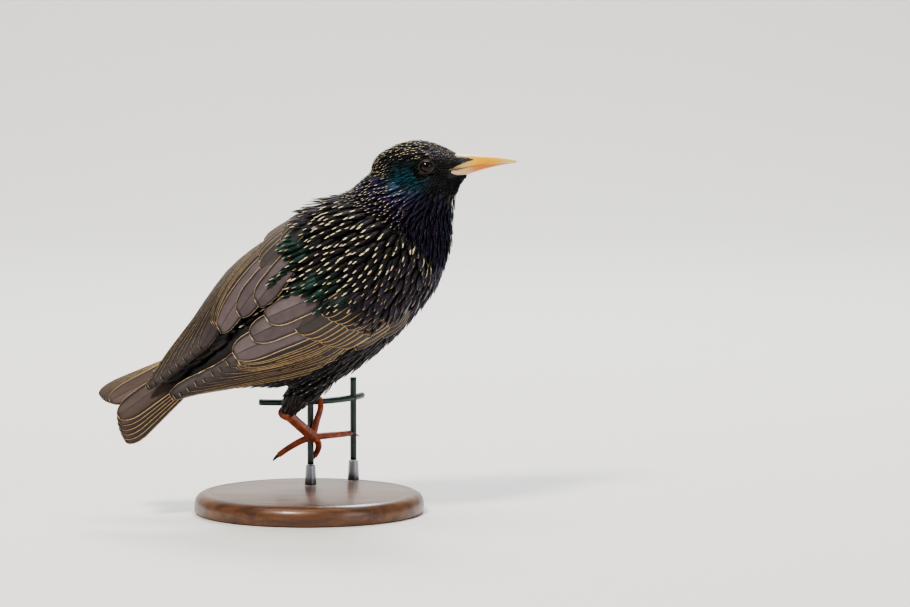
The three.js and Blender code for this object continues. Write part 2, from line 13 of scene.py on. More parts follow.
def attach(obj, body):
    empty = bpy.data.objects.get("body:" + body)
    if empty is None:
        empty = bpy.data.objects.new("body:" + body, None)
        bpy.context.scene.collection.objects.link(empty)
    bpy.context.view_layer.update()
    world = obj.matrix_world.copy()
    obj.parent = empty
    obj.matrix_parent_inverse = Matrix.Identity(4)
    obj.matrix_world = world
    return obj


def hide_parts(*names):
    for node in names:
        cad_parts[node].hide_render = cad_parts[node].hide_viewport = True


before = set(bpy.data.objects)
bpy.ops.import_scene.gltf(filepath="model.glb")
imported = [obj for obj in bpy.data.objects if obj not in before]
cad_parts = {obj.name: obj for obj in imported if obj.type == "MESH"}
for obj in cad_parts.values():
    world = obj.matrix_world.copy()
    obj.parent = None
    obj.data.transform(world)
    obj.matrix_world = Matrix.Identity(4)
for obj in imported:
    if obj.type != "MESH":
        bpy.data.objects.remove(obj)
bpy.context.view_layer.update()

pose = dict(
    place=(-16, -22, 88),  # the middle of the back, mm from the base's underside
    lean=5.5,  # the plane through bill and tail leans back, degrees
    pitch=31.4,  # the tail-to-breast line climbs, degrees
)
mm = 0.001

# the trunk along its axis: place, half width, back, belly, roll towards the viewer
trunk = np.array([
    (-64, 5, 3.5, 4.5, 58), (-50, 8.5, 5, 8.5, 58), (-36, 12, 7.5, 16, 58), (-22, 18, 12, 26, 58),
    (-8, 24.5, 17, 35.5, 58), (8, 28, 21, 47, 57), (25, 29, 23, 45, 55), (42, 28, 23.5, 39, 52.5),
    (56, 26, 22.5, 32.5, 50), (68, 22, 18.5, 26.5, 49), (77, 15, 12, 19, 48), (82, 6, 5, 8, 48),
], float)
# the sheet both wings lie on: place, half width, back, belly, lift, slip of the midline
sheet = np.array([
    (-68, 8, 2.5, 3, 4.5, 62), (-55, 11, 3.5, 5, 4.5, 54), (-42, 13.5, 6, 10, 3.5, 40),
    (-30, 17, 9, 18, 2, 30), (-18, 22, 14, 29, 0.8, 23), (-5, 27, 19, 39, 0, 18.5),
    (10, 29.6, 22.6, 48.6, 0, 18), (25, 30.3, 24.2, 46.5, 0, 16.5), (42, 29.4, 24.7, 40.4, 0, 14),
    (56, 27.4, 23.8, 33.9, 0, 11), (68, 23.4, 19.8, 28, 0, 8.5), (78, 15.4, 12.4, 19.4, 0, 7),
], float)
# neck and head sections: forward, up, slope, nape side, throat side, half width
neck = np.array([
    (40, 24, 40, 20, 20, 20), (48, 31, 50, 24.5, 27, 22.5), (54.5, 40, 58, 24, 25.5, 20),
    (59.5, 49, 65, 21.5, 20, 15.8), (62.5, 56, 70, 20, 18, 13.6), (64, 61.5, 74, 18, 18.6, 11.8),
    (65, 66, 80, 13, 9, 7.5),
], float)
head = np.array([
    (45.5, 61.5, 40, 3, 3, 3.5), (48.5, 62.2, 25, 6.8, 7, 7.6), (54, 63, 14, 9.8, 9.5, 10.6),
    (60, 63.4, 8, 11.8, 11.6, 11.8), (66.5, 63.6, 5, 12.2, 12, 11.4), (72, 63.9, 4, 10.7, 11.6, 9.4),
    (76.5, 64.1, 4, 8.4, 10.6, 6.9), (80, 64.2, 4, 6.2, 8.8, 5.2), (83, 64.2, 4, 4, 6.2, 3.8),
    (85, 64.2, 4, 2, 4.2, 2.2),
], float)
thighs = dict(
    right=[(26, 12, -10), (17, 15, -27), (6, 18, -42)],
    left=[(16, 24, -4), (10, 33, -14), (5, 39.5, -23)],
)
rng = np.random.default_rng(11)


# places
def smooth(table, column):  # a smooth curve through one column of a table
    xs, ys = table[:, 0], table[:, column]
    slopes = np.empty_like(ys)
    slopes[1:-1] = (ys[2:] - ys[:-2]) / (xs[2:] - xs[:-2])
    slopes[0] = (ys[1] - ys[0]) / (xs[1] - xs[0])
    slopes[-1] = (ys[-1] - ys[-2]) / (xs[-1] - xs[-2])

    def at(t):
        t = np.asarray(t, float)
        i = np.clip(np.searchsorted(xs, t) - 1, 0, len(xs) - 2)
        step = xs[i + 1] - xs[i]
        u = np.clip((t - xs[i]) / step, 0, 1)
        return ((2 * u**3 - 3 * u**2 + 1) * ys[i] + (u**3 - 2 * u**2 + u) * step * slopes[i]
                + (3 * u**2 - 2 * u**3) * ys[i + 1] + (u**3 - u**2) * step * slopes[i + 1])
    return at


leanCos, leanSin = math.cos(math.radians(pose["lean"])), math.sin(math.radians(pose["lean"]))
axisCos, axisSin = math.cos(math.radians(pose["pitch"])), math.sin(math.radians(pose["pitch"]))


def turned(x, away, up):  # the bird's plane to the part's frame, still in mm
    x, away, up = np.broadcast_arrays(x, away, up)
    return np.stack([x, away * leanCos + up * leanSin, up * leanCos - away * leanSin], -1)


def posed(x, away, up):  # in metres
    return (turned(x, away, up) + pose["place"]) * mm


def unposed(points):  # metres to the bird's plane in mm
    local = np.asarray(points) / mm - pose["place"]
    away = local[..., 1] * leanCos - local[..., 2] * leanSin
    up = local[..., 1] * leanSin + local[..., 2] * leanCos
    return local[..., 0], away, up


rollAt = smooth(trunk, 4)
slipAt = smooth(sheet, 5)


def bodyAxes(at):
    roll = np.radians(rollAt(at))
    c, s = np.cos(roll), np.sin(roll)
    return turned(axisSin * s, -c, -axisCos * s), turned(-axisSin * c, -s, axisCos * c)


def chart(table, lift=None):  # place along, degrees round, height above: metres
    wide, back, belly = (smooth(table, k) for k in (1, 2, 3))
    rise = smooth(table, lift) if lift else (lambda at: np.zeros_like(np.asarray(at, float)))

    def at(along, degrees, height):
        along, degrees, height = np.broadcast_arrays(along, degrees, height)
        right, up = bodyAxes(along)
        c, s = np.cos(np.radians(degrees)), np.sin(np.radians(degrees))
        tall = np.where(c > 0, back(along), belly(along))
        spot = turned(axisCos * along, 0 * along, axisSin * along)
        full = np.where(c > 0, 1, 1 + 0.45 * s * s * c * c)  # the belly is squarer than an ellipse
        spot = spot + right * ((wide(along) * full + height) * s)[..., None]
        spot = spot + up * ((tall * full + height) * c + rise(along))[..., None]
        return (spot + pose["place"]) * mm
    return at


onTrunk = chart(trunk)
onSheet = chart(sheet, lift=4)


def trunkPlace(points):  # along the axis, degrees round, distance from the axis over the surface's
    x, away, up = unposed(points)
    along = x * axisCos + up * axisSin
    right, back = bodyAxes(along)
    off = turned(x, away, up) - turned(axisCos * along, 0 * along, axisSin * along)
    r, b = (off * right).sum(-1), (off * back).sum(-1)
    return along, np.degrees(np.arctan2(r, b)), np.hypot(r, b)


# nodes and materials
def linear(hexColor):
    parts = [int(hexColor[i:i + 2], 16) / 255 for i in (1, 3, 5)]
    return tuple(c / 12.92 if c <= 0.04045 else ((c + 0.055) / 1.055) ** 2.4 for c in parts) + (1,)


usual = dict(MapRange=dict(interpolation_type="SMOOTHSTEP"), Mix=dict(data_type="RGBA"))


def addNode(tree, kind, inputs=(), out=0, to=None, **settings):  # one node with its settings and links
    node = tree.nodes.new("ShaderNode" + kind)
    for key, value in {**usual.get(kind, {}), **settings}.items():
        setattr(node, key, value)
    for key, value in inputs.items() if isinstance(inputs, dict) else enumerate(inputs):
        if isinstance(value, bpy.types.NodeSocket):
            tree.links.new(value, node.inputs[key])
        else:
            node.inputs[key].default_value = value
    if to:
        tree.links.new(node.outputs[out], to)
    return node.outputs[out]


def newMaterial(name, **sockets):
    material = bpy.data.materials.new(name)
    material.use_nodes = True
    shader = material.node_tree.nodes["Principled BSDF"]
    for key, value in sockets.items():
        shader.inputs[key.replace("_", " ")].default_value = value
    return material, shader.inputs, partial(addNode, material.node_tree)


# contour feathers: melanin keratin that films the light green and purple, pale at the tip
def contourMaterial():
    material, shader, add = newMaterial("contourFeatherKeratin")
    across, along, chance, spot, gloss = (add("Attribute", out=2, attribute_name=n)
                                          for n in ("across", "along", "chance", "spot", "gloss"))
    tint, pale = (add("Attribute", attribute_name=n) for n in ("tint", "pale"))
    side = add("Math", [across], operation="ABSOLUTE")
    # an oblong pale mark that ends in the feather's point
    wedge = add("Math", [side, 1.4], operation="POWER")
    start = add("Math", [wedge, 0.85, 1.0], operation="MULTIPLY_ADD")
    start = add("Math", [spot, -0.37, start], operation="MULTIPLY_ADD")
    past = add("Math", [along, start], operation="SUBTRACT")
    mark = add("MapRange", [past, -0.03, 0.05])
    shown = add("MapRange", [spot, 0.02, 0.12])
    mark = add("Math", [mark, shown], operation="MULTIPLY")
    # barbs slant away from the shaft, 26 of them from root to tip
    slant = add("Math", [side, -0.16, along], operation="MULTIPLY_ADD")
    slant = add("Math", [slant, 6.283 * 26], operation="MULTIPLY")
    barb = add("Math", [slant], operation="SINE")
    shade = add("Math", [barb, 0.1, 0.86], operation="MULTIPLY_ADD")
    shade = add("Math", [chance, 0.25, shade], operation="MULTIPLY_ADD")
    body = add("VectorMath", {0: tint, "Scale": shade}, operation="SCALE")
    add("Mix", {0: mark, 6: body, 7: pale}, 2, shader["Base Color"])
    dull = add("Math", [1.0, mark], operation="SUBTRACT")
    add("Math", [gloss, dull], to=shader["Metallic"], operation="MULTIPLY")
    add("Math", [mark, 0.35, 0.33], to=shader["Roughness"], operation="MULTIPLY_ADD")
    add("Bump", {"Height": barb, "Distance": 0.00006, "Strength": 0.6}, to=shader["Normal"])
    return material


# flight feathers: brown keratin with a worn buff fringe and a darker line inside it
def flightMaterial():
    material, shader, add = newMaterial("flightFeatherKeratin")
    across, along, chance, fringe, gloss, longMm, halfMm, buff = (
        add("Attribute", out=2, attribute_name=n)
        for n in ("across", "along", "chance", "fringe", "gloss", "longMm", "halfMm", "web"))
    tint, pale = (add("Attribute", attribute_name=n) for n in ("tint", "pale"))
    place = add("TexCoord", out=3)
    side = add("Math", [across], operation="ABSOLUTE")
    wear = add("TexNoise", {"Vector": place, "Scale": 1000 / 1.6, "Detail": 3.0})  # nicks 1.6 mm apart
    # painted light and shade: blotches about 4 mm across lighten and darken the web as light falls on a
    # rumpled vane
    paintedRumpleShade = add("TexNoise", {"Vector": place, "Scale": 1000 / 4, "Detail": 3.0})
    # distance in from the outline in mm, to the tip and to both sides
    fromTip = add("Math", [1.0, along], operation="SUBTRACT")
    fromTip = add("Math", [fromTip, longMm], operation="MULTIPLY")
    inward = add("Math", [1.0, side], operation="SUBTRACT")
    inward = add("Math", [inward, halfMm], operation="MULTIPLY")
    inward = add("Math", [inward, fromTip], operation="MINIMUM")
    wander = add("Math", [wear, 0.35, -0.175], operation="MULTIPLY_ADD")
    inward = add("Math", [inward, wander], operation="ADD")
    # the outer web carries the broad pale edge and a buff of its own
    outer = add("MapRange", [across, -0.2, 0.3])
    width = add("Math", [outer, 0.4, 0.6], operation="MULTIPLY_ADD")
    width = add("Math", [fringe, width], operation="MULTIPLY")
    far = add("Math", [inward, width], operation="DIVIDE")
    edge = add("MapRange", [far, 0.6, 1.25, 1.0, 0.0])
    dark = add("MapRange", [inward, 0.6, 1.7, 1.0, 0.0])
    near = add("MapRange", [inward, 0.5, 1.1, 1.0, 0.0])
    web = add("Math", [outer, buff], operation="MULTIPLY")
    web = add("Math", [web, near], operation="MULTIPLY")
    shaft = add("MapRange", [side, 0.02, 0.05, 1.0, 0.0])
    # 150 slanting barbs from root to tip
    slant = add("Math", [side, -0.16, along], operation="MULTIPLY_ADD")
    slant = add("Math", [slant, 6.283 * 150], operation="MULTIPLY")
    barb = add("Math", [slant], operation="SINE")
    shade = add("Math", [barb, 0.06, 0.45], operation="MULTIPLY_ADD")
    shade = add("Math", [chance, 0.4, shade], operation="MULTIPLY_ADD")
    # the painted light and shade of the rumples lightens and darkens the web
    shade = add("Math", [paintedRumpleShade, 0.7, shade], operation="MULTIPLY_ADD")
    body = add("VectorMath", {0: tint, "Scale": shade}, operation="SCALE")
    for weight, share, color in ((dark, 0.88, linear("#120d0c")), (web, 0.75, linear("#7d6544")),
                                 (edge, 0.92, pale), (shaft, 0.8, linear("#1b1310"))):
        part = add("Math", [weight, share], operation="MULTIPLY")
        body = add("Mix", {0: part, 6: body, 7: color}, 2)
    material.node_tree.links.new(body, shader["Base Color"])
    matt = add("Math", [1.0, edge], operation="SUBTRACT")
    add("Math", [gloss, matt], to=shader["Metallic"], operation="MULTIPLY")
    add("Math", [edge, 0.25, 0.46], to=shader["Roughness"], operation="MULTIPLY_ADD")
    relief = add("Math", [shaft, 6.0, barb], operation="MULTIPLY_ADD")
    add("Bump", {"Height": relief, "Distance": 0.000022, "Strength": 0.6}, to=shader["Normal"])
    return material


# bare skin under the down: matt and dark, in the same colours as the feathers over it
def skinMaterial():
    material, shader, add = newMaterial("featheredSkin", Roughness=0.75)
    grain = add("TexNoise", {"Vector": add("TexCoord", out=3), "Scale": 1000 / 0.7, "Detail": 3.0})
    shade = add("Math", [grain, 0.5, 0.55], operation="MULTIPLY_ADD")
    tint = add("Attribute", attribute_name="tint")
    add("VectorMath", {0: tint, "Scale": shade}, to=shader["Base Color"], operation="SCALE")
    add("Bump", {"Height": grain, "Distance": 0.0002, "Strength": 0.6}, to=shader["Normal"])
    return material


# bill: smooth keratin, cream at the root, orange-yellow in the middle and paler to the tip
def billMaterial(name, rootColor, middle, end):
    material, shader, add = newMaterial(name, Roughness=0.38, Coat_Weight=0.1, Coat_Roughness=0.25)
    place = add("TexCoord", out=3)
    x, z = (add("SeparateXYZ", [place], k) for k in (0, 2))
    cloud = add("TexNoise", {"Vector": place, "Scale": 1000 / 3, "Detail": 3.0})
    grain = add("TexNoise", {"Vector": place, "Scale": 1000 / 0.5, "Detail": 3.0})
    root, tip, mouth = float(posed(78, 0, 65)[0]), float(posed(106, 0, 66)[0]), float(posed(84, 0, 63.6)[2])
    along = add("MapRange", [x, root, tip, -0.06, 0.94], interpolation_type="LINEAR", clamp=False)
    along = add("Math", [cloud, 0.12, along], operation="MULTIPLY_ADD")
    color = linear(rootColor)
    for low, high, hue in ((0.1, 0.45, middle), (0.55, 0.95, end)):
        share = add("MapRange", [along, low, high])
        color = add("Mix", {0: share, 6: color, 7: linear(hue)}, 2)
    # the mouth line is fleshy near the gape
    off = add("Math", [z, mouth], operation="SUBTRACT")
    off = add("Math", [off], operation="ABSOLUTE")
    line = add("MapRange", [off, 0.0003, 0.0015, 0.7, 0.0])
    back = add("MapRange", [along, 0.05, 0.25, 1.0, 0.0])
    gape = add("Math", [line, back], operation="MULTIPLY")
    add("Mix", {0: gape, 6: color, 7: linear("#6d3a30")}, 2, shader["Base Color"])
    add("Bump", {"Height": grain, "Distance": 0.00008, "Strength": 0.4}, to=shader["Normal"])
    return material


# eye: a wet cornea over a dark brown iris and a black pupil
def eyeMaterial():
    material, shader, add = newMaterial("corneaOverIris", Roughness=0.06, Specular_IOR_Level=0.3)
    fleck = add("TexNoise", {"Vector": add("TexCoord", out=3), "Scale": 1000 / 0.4, "Detail": 3.0})
    fromAxis = add("Attribute", out=2, attribute_name="fromAxis")
    iris = add("Mix", {0: fleck, 6: linear("#150906"), 7: linear("#24110a")}, 2)
    pupil = add("MapRange", [fromAxis, 0.42, 0.5])
    rim = add("MapRange", [fromAxis, 0.8, 0.95])
    inside = add("Mix", {0: pupil, 6: linear("#020202"), 7: iris}, 2)
    add("Mix", {0: rim, 6: inside, 7: linear("#0c0706")}, 2, shader["Base Color"])
    return material


# legs, claws and lids: horny scales over skin, satin
def scaleMaterial(name, color, dark, roughness=0.42):
    material, shader, add = newMaterial(name, Roughness=roughness)
    place = add("TexCoord", out=3)
    broad = add("TexNoise", {"Vector": place, "Scale": 1000 / 3.5, "Detail": 3.0})
    fine = add("TexNoise", {"Vector": place, "Scale": 1000 / 0.35, "Detail": 3.0})
    patch = add("MapRange", [broad, 0.35, 0.65])
    dust = add("MapRange", [fine, 0.5, 0.8, 0.0, 0.35])
    mixed = add("Mix", {0: patch, 6: linear(color), 7: linear(dark)}, 2)
    add("Mix", {0: dust, 6: mixed, 7: linear("#b27a58")}, 2, shader["Base Color"])
    add("Bump", {"Height": fine, "Distance": 0.00012, "Strength": 0.6}, to=shader["Normal"])
    return material


# wire: steel dipped in green plastic, glossy, with drips and scuffs
def wireMaterial():
    material, shader, add = newMaterial("plasticCoatedWire", Roughness=0.3, Coat_Weight=0.1,
                                        Coat_Roughness=0.1)
    place = add("TexCoord", out=3)
    cloud = add("TexNoise", {"Vector": place, "Scale": 1000 / 6, "Detail": 3.0})
    scuff = add("TexNoise", {"Vector": place, "Scale": 1000 / 1.2, "Detail": 5.0})
    drips = add("TexNoise", {"Vector": place, "Scale": 1000 / 2.5, "Detail": 3.0})
    green = add("Mix", {0: cloud, 6: linear("#061d17"), 7: linear("#0c3029")}, 2)
    scuff = add("MapRange", [scuff, 0.62, 0.75, 0.0, 0.4])
    add("Mix", {0: scuff, 6: green, 7: linear("#5b7a6c")}, 2, shader["Base Color"])
    add("Bump", {"Height": drips, "Distance": 0.0004, "Strength": 0.5}, to=shader["Normal"])
    return material


# base: turned walnut under a satin lacquer, grain along X
def woodMaterial():
    material, shader, add = newMaterial("lacqueredWalnut", Roughness=0.35, Coat_Weight=0.3,
                                        Coat_Roughness=0.2)
    place = add("Mapping", {"Vector": add("TexCoord", out=3), "Scale": (1.0, 9.0, 9.0)})
    rings = add("TexNoise", {"Vector": place, "Scale": 22.0, "Detail": 5.0, "Distortion": 0.6})
    pores = add("TexNoise", {"Vector": place, "Scale": 260.0, "Detail": 2.0})
    ring = add("MapRange", [rings, 0.35, 0.65])
    pore = add("MapRange", [pores, 0.58, 0.7, 0.0, 0.5])
    heart = add("Mix", {0: ring, 6: linear("#4a2e1c"), 7: linear("#6d4629")}, 2)
    add("Mix", {0: pore, 6: heart, 7: linear("#2a180d")}, 2, shader["Base Color"])
    add("Bump", {"Height": pores, "Distance": 0.0001, "Strength": 0.4}, to=shader["Normal"])
    return material


# rods: drawn steel with fine lines round it
def steelMaterial():
    material, shader, add = newMaterial("satinSteel", Metallic=1.0, Roughness=0.3)
    place = add("Mapping", {"Vector": add("TexCoord", out=3), "Scale": (1, 1, 40)})
    lines = add("TexNoise", {"Vector": place, "Scale": 90.0})
    add("Mix", {0: lines, 6: linear("#7c8084"), 7: linear("#a9adb0")}, 2, shader["Base Color"])
    add("Math", [lines, 0.2, 0.22], to=shader["Roughness"], operation="MULTIPLY_ADD")
    return material


# making pieces
def finishPiece(obj, material, slot, *nodes):
    obj.data.materials.clear()
    obj.data.materials.append(material)
    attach(obj, "root")
    if nodes:
        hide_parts(*nodes)
    return obj


def link(name, mesh):
    obj = bpy.data.objects.new(name, mesh)
    bpy.context.scene.collection.objects.link(obj)
    return obj


def fromBmesh(name, bm, smoothFaces=True):
    bmesh.ops.recalc_face_normals(bm, faces=bm.faces[:])
    mesh = bpy.data.meshes.new(name)
    bm.to_mesh(mesh)
    bm.free()
    mesh.shade_smooth() if smoothFaces else mesh.shade_flat()
    return link(name, mesh)


def loft(bm, rings, closed=False):  # rings of points in metres, bridged, and capped unless they meet
    loops = []
    for ring in rings:
        made = bmesh.ops.create_circle(bm, segments=len(ring), radius=0.001)["verts"]
        for vert, spot in zip(made, ring):
            vert.co = spot
        loops.append(list({e for v in made for e in v.link_edges}))
        if len(loops) in (1, len(rings)) and not closed:
            bmesh.ops.contextual_create(bm, geom=made)
    for a, b in zip(loops, loops[1:] + loops[:1] * closed):
        bmesh.ops.bridge_loops(bm, edges=a + b)


def tubeRings(points, radii, sides=16, flat=1.0):  # round rings along a line of points
    points = [Vector(p) for p in points]
    rings, side = [], None
    for i, spot in enumerate(points):
        ahead = (points[min(i + 1, len(points) - 1)] - points[max(i - 1, 0)]).normalized()
        side = ahead.orthogonal() if side is None else side - ahead * side.dot(ahead)
        side.normalize()
        other = ahead.cross(side)
        turns = [2 * math.pi * j / sides for j in range(sides)]
        rings.append([spot + side * math.cos(t) * radii[i] + other * math.sin(t) * radii[i] * flat
                      for t in turns])
    return rings


def spline(points, count):  # a smooth line through a few points, evenly many places
    points = np.asarray(points, float)
    keys = np.concatenate([[0], np.cumsum(np.linalg.norm(np.diff(points, axis=0), axis=1) ** 0.5)])
    table = np.column_stack([keys, points])
    ts = np.linspace(0, keys[-1], count)
    return np.stack([smooth(table, k)(ts) for k in (1, 2, 3)], -1)


# skin
skinSet = dict(  # how far the skin lies inside the solids, in mm, and rounds of smoothing
    trunkCoat=2.3, neckCoat=0.9, headCoat=0.8, thighCoat=1.4, armCoat=1.4, voxel=0.85 * mm, rounds=12)
armStations = np.array([  # along, inner and outer edge in degrees, height over the sheet
    (-18, 12, 66, 0.2), (-4, 6, 76, 0.8), (14, 5, 80, 1.2), (32, 6, 84, 1.9), (46, 10, 92, 2.4),
    (58, 18, 100, 2.2), (66, 30, 103, 1.5), (72, 48, 98, 0.6),
], float)


def sectionRing(row, inset, sides=40):
    x, z, slope, nape, throat, wide = row
    turns = np.linspace(0, 2 * np.pi, sides, endpoint=False)
    tall = np.where(np.cos(turns) > 0, nape, throat) - inset
    up = np.cos(turns) * tall
    a = math.radians(slope)
    return posed(x - math.sin(a) * up, -np.sin(turns) * max(wide - inset, 0.6), z + math.cos(a) * up)


def refine(table, parts=3):
    keyed = np.column_stack([np.arange(len(table)), table])
    ts = np.linspace(0, len(table) - 1, (len(table) - 1) * parts + 1)
    return np.stack([smooth(keyed, k + 1)(ts) for k in range(table.shape[1])], -1)


def makeSkin():
    bm = bmesh.new()
    alongs = np.concatenate([np.arange(-60, 76, 4), [77, 79, 81]])
    degrees = np.linspace(0, 360, 48, endpoint=False)
    loft(bm, [onTrunk(a, degrees, -skinSet["trunkCoat"]) for a in alongs])
    loft(bm, [sectionRing(r, skinSet["neckCoat"]) for r in refine(neck)])
    loft(bm, [sectionRing(r, skinSet["headCoat"] * (1 if r[0] < 76 else 0.7)) for r in refine(head)])
    for side in (1, -1):  # wedges of feathering that reach over the nostrils
        wedge = posed(np.linspace(74, 88.5, 12), side * np.linspace(5.6, 2.4, 12),
                      np.linspace(65.4, 67.6, 12))
        loft(bm, tubeRings(wedge, np.linspace(2.6, 0.75, 12) * mm, 14))
    for line in thighs.values():
        points = posed(*np.array(line).T)
        radii = [12 - skinSet["thighCoat"], 9 - skinSet["thighCoat"], 2.2]
        loft(bm, tubeRings(spline(points, 16), np.interp(np.linspace(0, 2, 16), [0, 1, 2], radii) * mm, 20))
    for side in (1, -1):
        rings = []
        for a in np.arange(-16, 71, 3.5):
            inner, outer, high = (smooth(armStations, k)(a) for k in (1, 2, 3))
            shoulder = float(blend(a, 12, 28))  # over the shoulders the two meet under the mantle
            reach = np.linspace(inner - 36 * shoulder, outer, 22)
            share = np.clip((reach - inner) / (outer - inner), 0.06 + 0.26 * shoulder, 0.94)
            swell = high * np.sqrt(np.sin(np.pi * share)) - skinSet["armCoat"]
            turns = slipAt(a) + side * reach
            rings.append(np.concatenate([onSheet(a, turns, swell), onSheet(a, turns, -5.0)[::-1]]))
        loft(bm, rings)
    bmesh.ops.recalc_face_normals(bm, faces=bm.faces[:])
    rough = fromBmesh("skinRough", bm)
    remesh = rough.modifiers.new("remesh", "REMESH")
    remesh.mode, remesh.voxel_size = "VOXEL", skinSet["voxel"]
    mesh = bpy.data.meshes.new_from_object(rough.evaluated_get(bpy.context.evaluated_depsgraph_get()))
    bpy.data.objects.remove(rough)
    bm = bmesh.new()
    bm.from_mesh(mesh)
    for _ in range(skinSet["rounds"]):
        bmesh.ops.smooth_vert(bm, verts=bm.verts[:], factor=0.5, use_axis_x=True, use_axis_y=True,
                              use_axis_z=True)
    return fromBmesh("skin", bm)


# markings: the same function colours the skin and every feather
palette = {k: np.array(linear(v)[:3]) for k, v in dict(
    velvet="#060507", soot="#131117", green="#2f6b5a", teal="#3d7b8a", purple="#57437c", bronze="#3d3026",
    olive="#2b2118", cream="#e8dab2", buff="#bd9a68", flint="#cfc8bb", rump="#1b1513", lilac="#4c4752",
).items()}


def zones(points):
    x, away, up = unposed(points)
    along, degrees, reach = trunkPlace(points)
    isHead = (x - 62.5) * 0.34 + (up - 55.5) * 0.94 > 0
    isNeck = ((x - 55) * 0.537 + (up - 39) * 0.843 > 0) & ~isHead
    thigh = np.zeros(len(x), bool)
    for line in thighs.values():
        spots = spline(np.array(line, float), 12)
        gaps = np.linalg.norm(np.stack([x, away, up], -1)[:, None] - spots[None], axis=2)
        nearest = gaps.argmin(1)
        room = np.interp(np.arange(12), [0, 5.5, 11], [13, 9.5, 4])
        edge = np.where(np.abs(degrees) > 90, smooth(trunk, 3)(along), smooth(trunk, 1)(along)) * 0.97
        outside = reach > edge
        thigh |= (gaps.min(1) < room[nearest]) & (nearest > 2) & outside & ~isHead & ~isNeck & (along < 30)
    omega = degrees - slipAt(along)
    inner, outer = (smooth(armStations, k)(along) for k in (1, 2))
    wing = (np.abs(omega) > inner + 3) & (np.abs(omega) < outer - 2) & (along > -18) & (along < 71)
    wing &= ~(isHead | isNeck | thigh)
    return dict(wing=wing, x=x, away=away, up=up, along=along, degrees=degrees, omega=omega,
                isHead=isHead, isNeck=isNeck, thigh=thigh, trunk=~(isHead | isNeck | thigh))


def blend(value, low, high):
    t = np.clip((value - low) / (high - low), 0, 1)
    return t * t * (3 - 2 * t)


def markings(z):  # base colour, colour of the pale tip, size of the tip, strength of the gloss
    count = len(z["x"])
    x, up, along, omega = z["x"], z["up"], z["along"], np.abs(z["omega"])
    ventral = np.maximum(blend(np.abs(z["degrees"]), 88, 120), blend(omega, 84, 92) * (along < 58))
    ventral = ventral * ~z["wing"]

    def lay(base, color, weight):
        return base * (1 - weight[:, None]) + palette[color] * weight[:, None]

    tint = np.tile(palette["soot"], (count, 1))
    pale = np.tile(palette["cream"], (count, 1))
    spot, gloss = np.full(count, 0.5), np.full(count, 0.35)
    # mantle: black with a bronze-green film and large cream marks
    tint = lay(tint, "bronze", 0.15 * z["trunk"] * (1 - ventral))
    spot = np.where(z["trunk"], 0.85 * (1 - ventral) + 0.42 * ventral, spot)
    # scapulars glossed green with smaller marks, lesser coverts bronze and purple
    scapular = z["wing"] * blend(-np.abs(omega - 28), -26, -10) * blend(-along, -44, -26)
    coverts = z["wing"] * blend(omega, 42, 55)
    tint = lay(lay(tint, "green", 0.34 * scapular), "purple", 0.06 * coverts)
    spot = spot * (1 - 0.42 * scapular) * (1 - 0.4 * coverts)
    pale = lay(pale, "buff", 0.6 * np.maximum(coverts, scapular))
    # belly and flanks: sooty, small whitish marks
    pale = lay(pale, "flint", z["trunk"] * ventral)
    tint = lay(tint, "soot", 0.8 * z["trunk"] * ventral * blend(-along, -45, 0))
    # breast: purple over green
    front = blend(along, 45, 62) * ventral * z["trunk"]
    tint, spot = lay(tint, "purple", 0.25 * front), spot * (1 - 0.3 * front)
    # rump: dull and dark, marks shrink
    rump = blend(-along, 0, 15) * z["trunk"] * (1 - ventral)
    tint, spot = lay(tint, "rump", rump), spot * (1 - rump)
    gloss = np.where(z["trunk"], 0.5 + 0.3 * scapular - 0.4 * rump - 0.25 * ventral, gloss)
    # neck: purple sides, green nape, throat hackles with hardly a mark
    throat = blend((x - 60) * 0.8 - (up - 52) * 0.35, -2, 7) * (z["isNeck"] | z["isHead"])
    sides = blend(np.abs(z["away"]), 4, 10)
    high = blend(up + 0.5 * x, 66, 82) * sides  # the purple film is on the upper side of the neck
    tint = lay(tint, "purple", z["isNeck"] * (0.1 + 0.22 * high * (1 - throat)))
    tint = lay(tint, "teal", 0.06 * z["isNeck"] * (1 - sides))
    spot = np.where(z["isNeck"], 0.62 * (1 - throat) + 0.04 * throat, spot)
    gloss = np.where(z["isNeck"], 0.75, gloss)
    # head: green cheek, purple below it, velvet lores, small pale flecks on the crown
    crown = blend(up - 0.12 * (60 - x), 65.5, 69.5) * z["isHead"]
    cheek = blend(-np.hypot((x - 60) / 9, (up - 59) / 6.5), -1.5, 0) * (z["isHead"] | z["isNeck"])
    lores = blend(-np.hypot((x - 76) / 8, (up - 64.5) / 3.4), -1.2, -0.6) * z["isHead"]
    tint = lay(tint, "teal", 0.55 * cheek)
    tint = lay(tint, "purple", 0.35 * z["isHead"] * blend(-up, -59, -52) * blend(-x, -66, -54))
    tint = lay(tint, "lilac", crown * blend(x, 62, 74))
    lid = blend(-np.hypot(x - eyeSet["x"], up - eyeSet["z"]), -5.4, -4.4) * z["isHead"]
    tint = lay(tint, "velvet", np.maximum(lores, lid))
    nape = blend(-x, -58, -50) * z["isHead"]
    spot = np.where(z["isHead"], np.maximum(0.8 * crown, 0.75 * nape) * (1 - lores), spot)
    pale = lay(pale, "cream", z["isHead"])
    gloss = np.where(z["isHead"], (0.45 + 0.45 * cheek) * (1 - 0.95 * lores), gloss)
    # thigh: short olive-brown feathers
    tint = lay(tint, "olive", 0.85 * z["thigh"])
    spot, gloss = np.where(z["thigh"], 0.12, spot), np.where(z["thigh"], 0.1, gloss)
    return tint, pale, spot, gloss, throat


def setAttributes(mesh, floats=None, colors=None):
    for name, values in (floats or {}).items():
        data = mesh.attributes.new(name, "FLOAT", "POINT").data
        data.foreach_set("value", np.ascontiguousarray(values, np.float32).ravel())
    for name, values in (colors or {}).items():
        rgba = np.column_stack([values, np.ones(len(values))]).astype(np.float32)
        mesh.attributes.new(name, "FLOAT_COLOR", "POINT").data.foreach_set("color", rgba.ravel())


